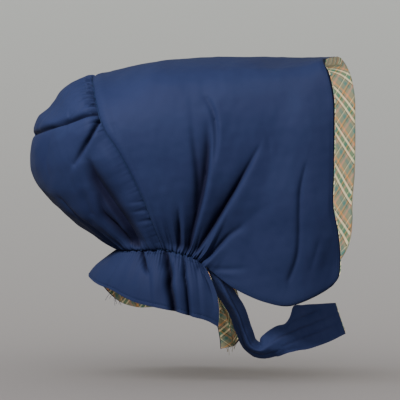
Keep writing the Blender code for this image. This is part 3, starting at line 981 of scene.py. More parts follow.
class Painter:
    """Builds one material's nodes."""

    def __init__(self, name: str) -> None:
        """Make the material and keep its shader.

        Args:
            name: Name of the material.
        """
        self.material = bpy.data.materials.new(name)
        self.material.use_nodes = True
        self.tree = self.material.node_tree
        self.shader = self.tree.nodes["Principled BSDF"]

    def node(self, kind: str, settings: Optional[dict[str, Any]] = None,
             sockets: Optional[dict[Union[str, int], Any]] = None) -> bpy.types.Node:
        """Add one node.

        Args:
            kind: Type of the node.
            settings: Attributes, set first; stops is a ramp's list of place and colour.
            sockets: Values or links by socket name or number.

        Returns:
            The node.
        """
        node = self.tree.nodes.new(kind)
        for key, value in (settings or {}).items():
            if key == "stops":
                self._set_stops(node.color_ramp, value)
            else:
                setattr(node, key, value)
        for key, value in (sockets or {}).items():
            self.feed(node.inputs[key], value)
        return node

    @staticmethod
    def _set_stops(ramp: bpy.types.ColorRamp, stops: Sequence[tuple[float, tuple]]) -> None:
        """Give a ramp its stops, with hard steps between them.

        Args:
            ramp: The ramp.
            stops: Places and colours.
        """
        ramp.interpolation = "CONSTANT"
        while len(ramp.elements) < len(stops):
            ramp.elements.new(0.5)
        for element, (place, colour) in zip(ramp.elements, stops):
            element.position = place
            element.color = (*colour, 1.0)

    def feed(self, socket: bpy.types.NodeSocket, value: Any) -> None:
        """Give a socket a number, a colour or a link.

        Args:
            socket: The socket.
            value: What it gets.
        """
        if isinstance(value, Value):
            value = value.socket
        if isinstance(value, bpy.types.NodeSocket):
            self.tree.links.new(value, socket)
        elif isinstance(value, (tuple, list)) and socket.type == "RGBA" and len(value) == 3:
            socket.default_value = (*value, 1.0)
        else:
            socket.default_value = value

    def math(self, operation: str, *parts: Union[Value, Number]) -> Value:
        """Return the result of a Math node.

        Args:
            operation: What the node does.
            parts: What it does it with.

        Returns:
            The result.
        """
        sockets = dict(enumerate(parts))
        made = self.node("ShaderNodeMath", {"operation": operation}, sockets)
        return Value(self, made.outputs[0])

    def mix(self, share: Union[Value, Number], first: Any, second: Any) -> bpy.types.NodeSocket:
        """Return a mix of two colours."""
        made = self.node("ShaderNodeMix", {"data_type": "RGBA"}, {0: share, 6: first, 7: second})
        return made.outputs[2]

    def cloth(self) -> tuple[Value, Value, bpy.types.NodeSocket]:
        """Return the two cloth coordinates in millimetres and their vector.

        Returns:
            Across, along and both.
        """
        made = self.node("ShaderNodeAttribute", {"attribute_name": "cloth"})
        split = self.node("ShaderNodeSeparateXYZ", sockets={0: made.outputs["Vector"]})
        return Value(self, split.outputs[0]), Value(self, split.outputs[1]), made.outputs["Vector"]

    def hollow(self) -> Value:
        """Return the painted crease shade, from 0 on open cloth to 1 deep in a fold."""
        made = self.node("ShaderNodeAttribute", {"attribute_name": "hollow"})
        return Value(self, made.outputs["Fac"])

    def place(self) -> bpy.types.NodeSocket:
        """Return the place on the object in metres."""
        return self.node("ShaderNodeTexCoord").outputs["Object"]

    def noise(self, where: bpy.types.NodeSocket, scale: float, detail: float,
              roughness: float) -> Value:
        """Return a soft noise between 0 and 1.

        Args:
            where: Places to read it.
            scale: How many lumps to a unit.
            detail: How many finer layers.
            roughness: Strength of those.

        Returns:
            The noise.
        """
        made = self.node("ShaderNodeTexNoise", sockets={
            "Vector": where, "Scale": scale, "Detail": detail, "Roughness": roughness})
        return Value(self, made.outputs[0])

    def bump(self, height: Value, distance: float, strength: float) -> None:
        """Feed a bump in metres into the shader's normal.

        Args:
            height: Share of the height.
            distance: Height in metres.
            strength: Strength of the bump.
        """
        made = self.node("ShaderNodeBump", sockets={
            "Height": height, "Distance": distance, "Strength": strength})
        self.feed(self.shader.inputs["Normal"], made.outputs[0])

    def sockets(self, **values: Any) -> None:
        """Set the shader's own sockets by name, with _ for a space."""
        for key, value in values.items():
            self.feed(self.shader.inputs[key.replace("_", " ")], value)


@dataclass(frozen=True)
class NavyCotton:
    """Smooth navy cotton with a fine plain weave, a soft polish and painted shade in its valleys."""

    name: str = "navy_cotton"
    base: Triple = (0.0090, 0.0135, 0.0460)
    worn: Triple = (0.0160, 0.0240, 0.0660)
    # Darker navy painted into the valleys of the folds as painted shade.
    crease_shade_colour: Triple = (0.0042, 0.0042, 0.0150)
    roughness: float = 0.66
    sheen: float = 0.02
    thread: float = 0.42
    cloudiness: float = 0.9
    slubs: float = 0.22
    # Strength of that painted shade.
    crease_shade_strength: float = 0.85

    def material(self) -> bpy.types.Material:
        """Return the material.

        Returns:
            The material.
        """
        paint = Painter(self.name)
        across, along, vector = paint.cloth()
        place = paint.place()
        cloudy = paint.noise(place, 26.0, 4.0, 0.6)
        slub = paint.noise(vector, 0.8, 2.0, 0.7)
        colour = paint.mix(cloudy * self.cloudiness, self.base, self.worn)
        turn = math.pi / self.thread
        weave = (across * turn).wave() * (along * turn).wave()
        colour = paint.mix(slub * self.slubs, colour, tuple(0.6 * c for c in self.base))
        # Painted shade: valleys are mixed towards the darker navy.
        colour = paint.mix(paint.hollow() * self.crease_shade_strength, colour, self.crease_shade_colour)
        paint.sockets(Base_Color=colour, Roughness=cloudy * 0.12 + (self.roughness - 0.06),
                      Sheen_Weight=self.sheen, Sheen_Roughness=0.45,
                      Sheen_Tint=(0.45, 0.55, 0.85), Specular_IOR_Level=0.06)
        paint.bump(weave * 0.5 + slub * 0.6, 0.00012, 0.5)
        return paint.material


@dataclass(frozen=True)
class WovenPlaid:
    """Plaid in sage and teal with cream, rust and dark lines, cut on the bias."""

    name: str = "woven_plaid"
    repeat: float = 25.6
    cross_repeat: float = 23.0
    ease_across: float = 1.4
    turn: Pair = (0.77, 0.64)
    sage: Triple = (0.250, 0.250, 0.155)
    teal: Triple = (0.080, 0.210, 0.180)
    green: Triple = (0.060, 0.210, 0.110)
    cream: Triple = (0.980, 0.860, 0.520)
    rust: Triple = (0.700, 0.300, 0.090)
    rose: Triple = (0.720, 0.300, 0.200)
    dark: Triple = (0.050, 0.030, 0.015)
    faded: Triple = (0.250, 0.220, 0.160)
    fading: float = 0.15
    twill: float = 1.1
    thread: float = 0.8

    def warp(self) -> list[tuple[float, Triple]]:
        """Return the colours along the repeat one way, by millimetre.

        Returns:
            Shares of the repeat and colours.
        """
        rows = [(0.0, self.sage), (3.6, self.rust), (5.6, self.sage), (7.4, self.dark),
                (8.4, self.cream), (10.6, self.green), (14.7, self.cream), (16.9, self.dark),
                (17.8, self.sage), (20.0, self.teal), (23.4, self.sage)]
        return [(at / self.repeat, colour) for at, colour in rows]

    def weft(self) -> list[tuple[float, Triple]]:
        """Return the colours along the repeat the other way, by millimetre.

        Returns:
            Shares of the repeat and colours.
        """
        rows = [(0.0, self.sage), (3.5, self.rose), (6.2, self.sage), (9.2, self.dark),
                (10.6, self.rust), (12.6, self.teal), (16.5, self.sage), (18.6, self.cream),
                (19.7, self.dark), (20.6, self.sage)]
        return [(at / self.cross_repeat, colour) for at, colour in rows]

    def material(self) -> bpy.types.Material:
        """Return the material.

        Returns:
            The material.
        """
        paint = Painter(self.name)
        across, along, vector = paint.cloth()
        wide = across * self.ease_across
        high, low = self.turn
        first = wide * high + along * low
        second = wide * low - along * high
        warp = paint.node("ShaderNodeValToRGB", {"stops": self.warp()},
                          {0: ((first + 1000.0) / self.repeat).fraction()})
        weft = paint.node("ShaderNodeValToRGB", {"stops": self.weft()},
                          {0: ((second + 1000.0) / self.cross_repeat).fraction()})
        twill = ((first - second) * (2 * math.pi / self.twill)).wave() * 0.26 + 0.42
        colour = paint.mix(twill, warp.outputs[0], weft.outputs[0])
        worn = paint.noise(paint.place(), 60.0, 4.0, 0.6)
        colour = paint.mix(worn * self.fading, colour, self.faded)
        turn = 2 * math.pi / self.thread
        fine = (first * turn).wave() * (second * turn).wave()
        slub = paint.noise(vector, 1.1, 2.0, 0.7)
        paint.sockets(Base_Color=colour, Roughness=0.82, Specular_IOR_Level=0.25)
        paint.bump(fine * 0.6 + slub * 0.6, 0.00015, 0.6)
        return paint.material


@dataclass(frozen=True)
class SewingThread:
    """Twisted sewing thread."""

    name: str = "navy_thread"
    colour: Triple = (0.0045, 0.0100, 0.0330)
    light: Triple = (0.0090, 0.0190, 0.0560)
    roughness: float = 0.7

    def material(self) -> bpy.types.Material:
        """Return the material.

        Returns:
            The material.
        """
        paint = Painter(self.name)
        twist = paint.noise(paint.place(), 1800.0, 2.0, 0.6)
        paint.sockets(Base_Color=paint.mix(twist, self.colour, self.light),
                      Roughness=self.roughness, Specular_IOR_Level=0.1)
        paint.bump(twist, 0.00008, 0.5)
        return paint.material


@dataclass(frozen=True)
class PaleBacking:
    """Pale studio floor with painted shade: darker near the eye and paler far away, standing in for
    the fall-off of the studio light; distances in metres.
    """

    name: str = "pale_floor"
    # Painted shade: the floor is darker near the eye and paler far away.
    near: Triple = (0.475, 0.432, 0.415)
    far: Triple = (0.73, 0.735, 0.68)
    eye: float = 4.0
    starts: float = 3.6

    def material(self) -> bpy.types.Material:
        """Return the material.

        Returns:
            The material.
        """
        paint = Painter(self.name)
        split = paint.node("ShaderNodeSeparateXYZ", sockets={0: paint.place()})
        depth = paint.math("MAXIMUM", Value(paint, split.outputs[1]) + self.eye, self.starts)
        share = 1.0 - self.starts / depth
        grain = paint.noise(paint.place(), 900.0, 2.0, 0.5)
        # Painted shade gradient from near to far.
        colour = paint.mix(share, self.near, self.far)
        paint.sockets(Base_Color=colour, Roughness=grain * 0.05 + 0.85, Specular_IOR_Level=0.2)
        return paint.material


@dataclass
class Finishes:
    """The hood's materials, made once."""

    navy: bpy.types.Material
    plaid: bpy.types.Material
    thread: bpy.types.Material
    plaid_thread: bpy.types.Material

    @classmethod
    def make(cls) -> "Finishes":
        """Make every material.

        Returns:
            The materials.
        """
        warm = SewingThread("plaid_thread", (0.20, 0.16, 0.09), (0.42, 0.36, 0.24), 0.8)
        return cls(NavyCotton().material(), WovenPlaid().material(),
                   SewingThread().material(), warm.material())


def place_piece(thing: bpy.types.Object, slot: str, nodes: Sequence[str] = ()) -> None:
    """Tie a piece to the hood's body and hide the CAD nodes that it stands for.

    Args:
        thing: The piece.
        slot: Not used.
        nodes: CAD nodes that it replaces.
    """
    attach(thing, "root")
    if nodes:
        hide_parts(*nodes)
    LOG.info("%s: %d faces", thing.name, len(thing.data.polygons))


def sheet_piece(name: str, finish: tuple[str, bpy.types.Material], node: str,
                faces: tuple[Array, Array], cloth: Array,
                heights: Optional[Array] = None) -> bpy.types.Object:
    """Build one closed sheet of cloth.

    Args:
        name: Name of the piece.
        finish: Name of the material slot, and the material.
        node: CAD node that it replaces.
        faces: Grids of points of its two faces, in millimetres.
        cloth: Cloth coordinates of both.
        heights: Heights of the first face's relief, which set its painted crease shade.

    Returns:
        The piece.
    """
    slot, material = finish
    shell = Shell()
    shell.wall(*faces, cloth, heights=heights)
    thing = shell.build(name, [material])
    place_piece(thing, slot, [node])
    return thing


# Grooves pressed in along the seams and hems: depth and width.
SEAM_GROOVE = (2.2, 1.6)
RIM_GROOVE = (1.6, 1.1)
EDGE_GROOVE = (1.1, 1.3)
FREE_GROOVE = (0.4, 1.3)
CROWN_NECK_GROOVE = (1.4, 1.5)
CURTAIN_GROOVE = (0.8, 1.2)
STITCH_DENT = 0.35
STITCH_WIDTH = 0.9

# The brim


@dataclass
class Brim:
    """The deep padded brim with its plaid lining and its stitches."""

    form: HoodForm
    finishes: Finishes
    across: int = 232
    along: int = 176
    length: float = 235.0
    half_round: float = 310.0
    deepest: float = 12.0
    wall: float = 6.0
    rim_thinner: float = 0.8
    give: float = 3.4
    lining_gap: float = 0.4
    lining: float = 1.1
    stitch_in: float = 4.0
    second_stitch: float = 2.6
    free_from: float = 0.53
    turned_from: float = 0.82
    turn_rows: int = 6

    FOLDS: ClassVar[tuple[Fold, ...]] = (
        Fold("behind the fan", ((6, -187), (8.5, -173), (10, -158), (10.5, -141)),
             3.2, 5.0, 3.0, 0.9, 3.0, 6.0, (1.0, 0.9, 0.1), 3.4, 1.0),
        Fold("first small fold", ((-1, -184), (-2, -170), (-4, -156)),
             1.0, 3.5, 3.0, 0.5, 3.0, 5.0, (1.0, 0.1), 1.0, 1.0),
        Fold("main fold", ((15.5, -187.5), (24, -161.5), (31.5, -134.5), (37.5, -107),
                           (40.5, -79), (40.5, -54)),
             7.0, 8.0, 3.0, 2.0, 4.0, 7.0, (0.8, 0.9, 1.1, 1.2, 0.8, 0.1), 3.2, 1.5),
        Fold("hollow behind the main fold", ((27.5, -142), (30, -120), (29, -98), (27, -80),
                                             (25, -55), (22, -30)),
             2.2, 2.4, 9.0, 0.6, -5.0, 8.0, (0.3, 1.0, 1.0, 0.6, 0.3, 0.1), 1.6, 1.2),
        Fold("arc beside the main fold", ((38, -32), (45.5, -46), (48.5, -62), (48.5, -80),
                                          (46, -98)),
             1.2, 3.0, 2.0, 1.0, 3.0, 6.0, (0.5, 1.0, 1.0, 0.7, 0.1), 4.0, 1.1),
        Fold("long slant", ((22.5, -189.5), (37.5, -168), (52, -146), (65.5, -124),
                            (78.5, -101.5), (91.5, -79)),
             6.0, 8.0, 2.4, 2.0, 3.4, 9.0, (0.8, 1.0, 1.1, 1.0, 0.6, 0.1), 3.4, 1.2),
        Fold("short crease", ((102, -82), (99, -68), (94, -58)), 0.7, 3.0, 2.5, 0.3, 4.0, 3.0,
             (0.6, 0.3), 0.3, 1.0, False),
        Fold("low slant", ((36, -191), (47.5, -180), (58, -169), (71, -160)),
             3.4, 6.0, 2.6, 1.4, 3.2, 7.0, (1.0, 0.9, 0.3), 3.0, 1.1),
        Fold("low slant, far run", ((71, -160), (82, -150), (94, -140), (107, -134),
                                    (120, -132)), 1.2, 9.0, 9.0, 0.5, 10.0, 8.0, (0.9, 0.3)),
        Fold("level crease", ((38, -200), (46, -201), (55, -201), (82, -199)),
             1.4, 3.0, 2.5, 0.5, 3.0, 5.0, (1.0, 0.6, 0.05), 3.2, 0.9),
        Fold("second level crease", ((40, -203), (54, -208), (74, -213)),
             0.8, 3.0, 3.0, 0.5, 3.0, 4.0, (1.0, 0.05), 1.9, 0.9),
        Fold("rim crease", ((137.5, -97), (132.5, -119), (131.5, -141.5), (131, -164.5),
                            (129, -187), (121, -209)), 1.5, 3.0, 9.0, 0.5, -4.0, 7.0,
             (0.3, 0.9, 0.8, 1.0, 0.7), 1.6, 1.2),
        Fold("corner crease", ((151, -170), (149, -177), (146, -187), (143, -197)),
             0.6, 3.5, 3.0, 0.2, 4.0, 5.0, (0.5, 0.8, 0.5), 0.3, 1.2),
        Fold("crease by the seam", ((-53, -59), (-50, -66), (-47, -74)),
             0.6, 2.5, 2.5, 0.3, 3.0, 3.0, (0.8, 0.3), 0.6, 1.0),
        Fold("soft top hollow", ((36, -9), (34, -24), (33, -40)), 0.8, 8.0, 8.0, 0.3, 11.0, 8.0,
             (0.6, 0.8)),
    )
    NECK_GATHERS: ClassVar[tuple[Gather, ...]] = (
        Gather(7, 1.5, 0.09),
        Gather(21, 0.75, 0.035, wobble=1.1),
        Gather(34, 0.35, 0.02, 2.0),
    )
    SEAM_GATHERS: ClassVar[Gather] = Gather(42, 1.0, 0.018, wobble=2.5, wobble_count=11)
    WAVES: ClassVar[tuple[Wave, ...]] = (
        (0.75, 26.0, 90.0, 11),
        (0.10, 8.0, 18.0, 12),
    )
    LINING_WAVES: ClassVar[Wave] = (0.7, 18.0, 60.0, 21)
    # Where the outer face turns to its neighbours: by the seam, the lower edge and the neck.
    NEAR_SEAM: ClassVar[Pair] = (0.10, 0.0)
    NEAR_EDGE: ClassVar[Pair] = (0.10, 0.0)
    NECK_END: ClassVar[Pair] = (0.62, 0.50)
    # Where the small gap at the crown seam and at the neck is kept.
    GAP_AT_SEAM: ClassVar[Pair] = (0.02, 0.0)
    GAP_AT_EDGE: ClassVar[Pair] = (0.012, 0.0)
    GAP_END: ClassVar[Pair] = (0.56, 0.48)
    # Raised edge behind the crown seam: height, distance from it, width.
    SEAM_EDGE: ClassVar[Triple] = (0.9, 5.0, 3.0)

    def _grid(self) -> tuple[Array, Array]:
        """Return the two grids of places over the brim.

        Returns:
            Shares from seam to rim, and places from near edge to far edge.
        """
        u = np.linspace(0, 1, self.across + 1)[:, None]
        half = np.linspace(0, 1, self.along + 1)
        half = half - 0.010 * np.sin(half * 2 * math.pi) / (2 * math.pi)
        t = np.concatenate([half, (2.0 - half)[-2::-1]])[None, :]
        return np.broadcast_arrays(u, t)

    def _base(self, u: Array, t: Array) -> tuple[Array, Array]:
        """Return the smooth surface and its directions, as the solid has them.

        Args:
            u: Shares from seam to rim.
            t: Places round the brim.

        Returns:
            Points and unit directions.
        """
        form = self.form
        base = form.brim(u, t)
        ways = form.ways(form.brim, u, t, [(0, 1), (0, 2)], base - form.INSIDE_BRIM)
        near_seam = ease(*self.NEAR_SEAM, u)[..., None]
        ways = unit(ways * (1 - near_seam) + form.seam_ways(t[:1])[:1] * near_seam)
        low = np.minimum(t, 2.0 - t)
        place = form.NECK_PART + (1 - form.NECK_PART) * np.clip(u / form.NECK_SHARE, 0, 1)
        level = form.neck_ways(np.where(t < 1.0, -place, place))
        at_neck = (ease(*self.NEAR_EDGE, low) * ease(*self.NECK_END, u))[..., None]
        ways = unit(ways * (1 - at_neck) + level * at_neck)
        tangent = unit(form.brim(0.01, t[:1]) - form.brim(0.0, t[:1]))
        base = base + tangent * form.CLOSE * ease(*self.GAP_AT_SEAM, u)[..., None]
        base[..., 2] += form.CLOSE * ease(*self.GAP_AT_EDGE, low) * ease(*self.GAP_END, u)
        return base, ways

    def _gathers(self, u: Array, t: Array) -> Array:
        """Return the height of the fine gathers along the neck seam and the crown seam.

        Args:
            u: Shares from seam to rim.
            t: Places round the brim.

        Returns:
            Heights.
        """
        low = np.minimum(t, 2.0 - t)
        place = u / self.form.NECK_SHARE
        neck = sum(gather.over(place, low) for gather in self.NECK_GATHERS)
        seam = self.SEAM_GATHERS.over(t, u) * (0.06 + 0.24 * ease(0.52, 0.66, low))
        return neck * ease(0.54, 0.44, u) + seam

    def _outer(self, u: Array, t: Array, base: Array, ways: Array) -> tuple[Relief, Array]:
        """Return the outer surface with every fold on it, and the heights of the folds.

        Args:
            u: Shares from seam to rim.
            t: Places round the brim.
            base: Points of the smooth surface.
            ways: Its directions.

        Returns:
            The relief, and the heights of its folds alone.
        """
        relief = Relief(base, ways)
        relief.lay(self.FOLDS)
        relief.blend()
        low = np.minimum(t, 2.0 - t)
        calm = ease(0.0, 0.06, u) * ease(1.0, 0.94, u) * ease(0.0, 0.04, low)
        for wave in self.WAVES:
            relief.waves(*wave, 0.25 + 0.75 * calm)
        from_seam = u * self.length
        from_rim = (1 - u) * self.length
        from_edge = low * self.half_round
        relief.heights *= 1 - ease(0.60, 0.48, u) * ease(12.0, 0.0, from_edge) * 0.85
        folds = relief.heights.copy()
        relief.heights += self._gathers(u, t)
        relief.soften(self.deepest)
        free = ease(0.46, 0.52, u)
        height, *place = self.SEAM_EDGE
        relief.heights += height * bell(from_seam, *place) - groove(from_seam, SEAM_GROOVE)
        relief.heights -= groove(from_rim, RIM_GROOVE)
        relief.heights -= groove(from_edge, EDGE_GROOVE) + groove(from_edge, FREE_GROOVE) * free
        for distance, share in ((from_rim, 1.0), (from_edge, free)):
            relief.heights -= STITCH_DENT * share * bell(distance, self.stitch_in, STITCH_WIDTH)
        relief.heights -= 0.20 * bell(from_rim, self.stitch_in + self.second_stitch, 1.1)
        return relief, folds

    def _wall_depths(self, count: int) -> Array:
        """Return the wall's thickness row by row, a little less at the rim.

        Args:
            count: How many rows.

        Returns:
            Thicknesses.
        """
        depths = np.full(count, self.wall)
        depths[-1] -= self.rim_thinner
        return depths

    def build(self) -> list[bpy.types.Object]:
        """Build the navy brim, its lining and its stitches.

        Returns:
            The pieces.
        """
        u, t = self._grid()
        base, ways = self._base(u, t)
        relief, folds = self._outer(u, t, base, ways)
        cloth = cloth_places(base)
        rows = every(4, self.across)
        columns = every(3, 2 * self.along)
        push = push_behind(relief.heights, self.give, 5)
        depth = self._wall_depths(len(rows))[:, None] + push[rows][:, columns]
        inner = base[rows][:, columns] - ways[rows][:, columns] * depth[..., None]
        settle = self.form.settle
        shell = Shell()
        # The folds' heights set the painted crease shade.
        shell.wall(settle(relief.raised()), settle(inner), cloth, cloth[rows][:, columns],
                   heights=folds)
        brim = shell.build("padded_brim", [self.finishes.navy])
        place_piece(brim, "navy", ["brim"])
        lining = self._build_lining(u, t, base - ways * push[..., None], ways)
        return [brim, lining, self._build_stitches(relief)]

    def _build_lining(self, u: Array, t: Array, base: Array, ways: Array) -> bpy.types.Object:
        """Build the plaid lining inside the brim.

        Args:
            u: Shares from seam to rim.
            t: Places round the brim.
            base: Points of the smooth surface, set in behind the folds.
            ways: Its directions.

        Returns:
            The lining.
        """
        rows = every(3, self.across)
        columns = every(2, 2 * self.along)
        base = base[rows][:, columns]
        ways = ways[rows][:, columns]
        inner = base - ways * self._wall_depths(len(rows))[:, None, None]
        relief = Relief(inner, -ways)
        low = np.minimum(t, 2.0 - t)[rows][:, columns]
        calm = ease(1.0, 0.90, u[rows][:, columns]) * ease(0.0, 0.08, low)
        relief.waves(*self.LINING_WAVES, 0.15 + 0.85 * calm)
        face = inner - ways * self.lining_gap
        back_heights = self.lining + np.maximum(relief.heights, -0.6) * 0.8
        back = face - ways * back_heights[..., None]
        reach = run_lengths(base[::-1], 0)[::-1]
        drop = run_lengths(base[-1:], 1) * np.ones_like(reach)
        cloth = np.stack([reach, drop], -1)
        back, face, cloth = self._turn_edge(back, face, cloth, base, t[0, columns])
        settle = self.form.settle
        lining = sheet_piece("brim_plaid_lining", ("plaid", self.finishes.plaid), "brim_lining",
                             (settle(back), settle(face)), cloth)
        return lining

    def _turn_edge(self, back: Array, face: Array, cloth: Array, base: Array,
                   t: Array) -> tuple[Array, Array, Array]:
        """Fold the lining forward over the rim, fully from the near top corner to the far side.

        Args:
            back: Grid of the lining's shown face.
            face: Grid of its hidden face.
            cloth: Cloth coordinates of both.
            base: Grid of the brim's outer surface.
            t: Places along the rim.

        Returns:
            The two faces and the cloth coordinates with the turned rows added.
        """
        forward = unit(base[-1] - base[-2])
        turned = 0.08 + 0.68 * ease(self.turned_from, self.turned_from + 0.03, t)
        turned = turned + 0.18 * ease(0.86, 0.92, t)
        shown = [back]
        hidden = [face]
        places = [cloth]
        for step in range(1, self.turn_rows + 1):
            share = (turned * step / self.turn_rows)[:, None]
            middle = face[-1] * (1 - share) + base[-1] * share
            hidden.append((middle + forward * 0.2)[None])
            shown.append((middle + forward * 1.0)[None])
            place = cloth[-1].copy()
            place[:, 0] -= share[:, 0] * self.wall
            places.append(place[None])
        return np.concatenate(shown), np.concatenate(hidden), np.concatenate(places)

    def _build_stitches(self, relief: Relief) -> bpy.types.Object:
        """Build the running stitches inside the rim and above the free lower edge.

        Args:
            relief: The outer surface.

        Returns:
            The stitches.
        """
        work = ThreadWork(radius=0.20)
        raised = self.form.settle(relief.raised())
        normals = relief.normals
        column = round(self.across * (1 - self.stitch_in / self.length))
        work.row(raised[column][4:-4], normals[column][4:-4])
        row = max(2, round(self.along * self.stitch_in / self.half_round))
        start = int(self.across * self.free_from)
        for place in (row, 2 * self.along - row):
            work.row(raised[start:column, place], normals[start:column, place])
        return work.build("brim_stitches", self.finishes.thread, "navy")


# The crown


@dataclass
class Crown:
    """The soft gathered crown at the back."""

    form: HoodForm
    finishes: Finishes
    around: int = 300
    up: int = 220
    height: float = 250.0
    deepest: float = 13.0
    wall: float = 6.0
    give: float = 3.4
    puff: float = 3.0
    gather_pitch: float = 6.2
    gather_height: float = 1.3

    FOLDS: ClassVar[tuple[Fold, ...]] = (
        Fold("top crease", ((-71, -47), (-87, -52.5), (-103, -57.5), (-120, -62),
                            (-136, -67), (-152, -72)),
             1.4, 5.0, 4.0, 0.8, 4.0, 8.0, (0.8, 1.0, 1.0, 0.8), 7.0, 1.2),
        Fold("second crease", ((-68, -52), (-75, -68.5), (-84.5, -83.5), (-94, -99)),
             1.6, 5.0, 3.0, 1.0, 3.6, 8.0, (1.0, 1.0, 0.8, 0.3), 6.4, 1.2),
        Fold("deep crease", ((-35.5, -179.5), (-43, -162.5), (-53, -146.5), (-63.5, -130.5),
                             (-72.5, -114), (-78, -95.5)),
             11.0, 5.0, 10.0, 2.0, -7.0, 10.0, (0.9, 1.0, 1.0, 0.8, 0.25), 3.0, 1.8),
        Fold("low crease", ((-43, -178), (-56, -163.5), (-68, -148.5), (-71.5, -128.5)),
             6.0, 6.0, 5.0, 1.0, -6.0, 8.0, (1.0, 1.0, 0.6, 0.1), 3.0, 1.6),
        Fold("sunken part", ((-50, -170), (-62, -150), (-72, -130), (-80, -110), (-84, -96)),
             4.5, 9.0, 9.0, 0.0, 6.0, 4.0, (0.8, 1.0, 1.0, 0.9, 0.3)),
        Fold("first wrinkle", ((-37, -136), (-28, -135), (-18, -135)), 0.8, 2.5, 2.5, 0.6, 3.0,
             3.0, (0.3, 1.0), 0.6, 1.0),
        Fold("second wrinkle", ((-34, -145), (-26, -144), (-17, -144)), 0.8, 2.5, 2.5, 0.6, 3.0,
             3.0, (0.3, 1.0), 0.6, 1.0),
        Fold("third wrinkle", ((-30, -155), (-24, -154), (-14, -154)), 0.8, 2.5, 2.5, 0.6, 3.0,
             3.0, (0.3, 1.0), 0.6, 1.0),
        Fold("soft back fold", ((-121, -72), (-126, -86), (-128, -99), (-125, -112)),
             1.4, 5.0, 6.0, 0.5, 5.0, 7.0, (0.6, 0.8, 0.4)),
        Fold("soft middle fold", ((-97, -97), (-101, -109), (-98, -122)),
             1.2, 4.0, 5.0, 0.4, 5.0, 6.0, (0.6, 0.6)),
        Fold("lower soft fold", ((-87, -118), (-86, -132), (-80, -148)),
             2.6, 6.0, 7.0, 0.5, 6.0, 6.0, (0.4, 0.9)),
        Fold("rear low fold", ((-58, -182), (-78, -166), (-98, -150), (-112, -134)),
             3.0, 7.0, 5.0, 0.8, 6.0, 7.0, (1.0, 0.3), 1.4, 1.6),
        Fold("top gather, first", ((-79, -19), (-90, -21), (-101, -28)), 1.0, 2.8, 2.4, 0.6,
             2.6, 3.0, (1.0, 0.1), 2.4, 1.0),
        Fold("top gather, second", ((-78, -25), (-87, -28), (-97, -35)), 1.4, 2.8, 2.4, 0.6,
             2.6, 3.0, (1.0, 0.1), 3.0, 1.0),
        Fold("top gather, third", ((-76, -31), (-84, -35), (-94, -41)), 1.4, 2.8, 2.4, 0.6,
             2.6, 3.0, (1.0, 0.1), 3.0, 1.0),
        Fold("top gather, fourth", ((-74, -37), (-82, -41), (-90, -46)), 1.4, 2.8, 2.4, 0.6,
             2.6, 3.0, (1.0, 0.1), 2.6, 1.0),
        Fold("shoulder crease", ((-104, -28), (-110, -38), (-119, -48)), 1.2, 4.0, 4.0, 0.4,
             4.0, 5.0, (0.5, 0.6)),
        Fold("back shoulder crease", ((-128, -50), (-136, -59), (-142, -70)), 1.0, 3.5, 3.5, 0.3,
             4.0, 4.5, (0.5, 0.6)),
    )
    NECK_GATHERS: ClassVar[tuple[Gather, ...]] = (
        Gather(9, 1.3, 0.10),
        Gather(24.3, 0.7, 0.05, 1.0),
        Gather(41.4, 0.35, 0.03),
    )
    WAVES: ClassVar[tuple[Wave, ...]] = (
        (1.1, 24.0, 80.0, 31),
        (0.12, 8.0, 18.0, 32),
    )
    # Puff beside the seam: where it has risen, and how far it falls away over.
    PUFF_RISE: ClassVar[Pair] = (0.0, 14.0)
    PUFF_FALL: ClassVar[float] = 55.0
    # How far inside the seams the threads lie, and the neck thread's lift.
    SEAM_THREAD_IN: ClassVar[float] = 2.0
    NECK_THREAD_IN: ClassVar[float] = 1.7
    NECK_THREAD_LIFT: ClassVar[Array] = np.array([0.0, 0.0, 0.08])

    def _base(self) -> tuple[Array, Array, Array, Array]:
        """Return the places, the smooth surface and its directions.

        Returns:
            Places round and up, points, and unit directions.
        """
        form = self.form
        w = np.linspace(0, 1, self.up + 1)[None, :]
        a = np.linspace(-1, 1, self.around + 1)[:, None]
        a, w = np.broadcast_arrays(a, w)
        base = form.crown(a, w)
        ways = form.ways(form.crown, a, w, [(-1, 1), (0, 1)], base - form.INSIDE_CROWN)
        leg_t = np.where(a < 0, w * form.SHOULDER, 2.0 - w * form.SHOULDER)
        top_t = 1.0 + (1.0 - form.SHOULDER) * np.sin(a * math.pi / 2)
        at_leg = np.abs(a) >= 1.0
        at_top = (w >= 1.0) & (np.abs(a) < 1.0)
        base = np.where(at_leg[..., None], form.seam(leg_t), base)
        base = np.where(at_top[..., None], form.seam(top_t), base)
        leg_share = ease(0.80, 1.0, np.abs(a))[..., None]
        ways = unit(ways * (1 - leg_share) + form.seam_ways(leg_t) * leg_share)
        top_share = (ease(0.86, 1.0, w) * (np.abs(a) < 1.0))[..., None]
        ways = unit(ways * (1 - top_share) + form.seam_ways(top_t) * top_share)
        at_neck = ease(0.12, 0.0, w)[..., None]
        ways = unit(ways * (1 - at_neck) + form.neck_ways(a * form.NECK_PART) * at_neck)
        away = unit(form.crown(np.clip(a, -0.99, 0.99), np.minimum(w, 0.99)) - base + 1e-9)
        on_seam = at_leg | at_top
        base = base + np.where(on_seam[..., None], away * form.CLOSE, 0.0)
        base[..., 2] += np.where(w <= 0.0, form.CLOSE, 0.0)
        return a, w, base, ways

    def _from_seam(self, base: Array) -> tuple[Array, Array, Array]:
        """Return the distance from the crown seam, the way along it and its upper share.

        Args:
            base: Points of the crown.

        Returns:
            The three, each the same shape as the grid.
        """
        t = np.linspace(0.0, 2.0, 321)
        seam = self.form.seam(t)
        which, distance = nearest_on_line(base.reshape(-1, 3), seam)
        low = np.minimum(t, 2.0 - t)
        shape = base.shape[:-1]
        return tuple(part.reshape(shape) for part in
                     (distance, run_lengths(seam, 0)[which], low[which]))

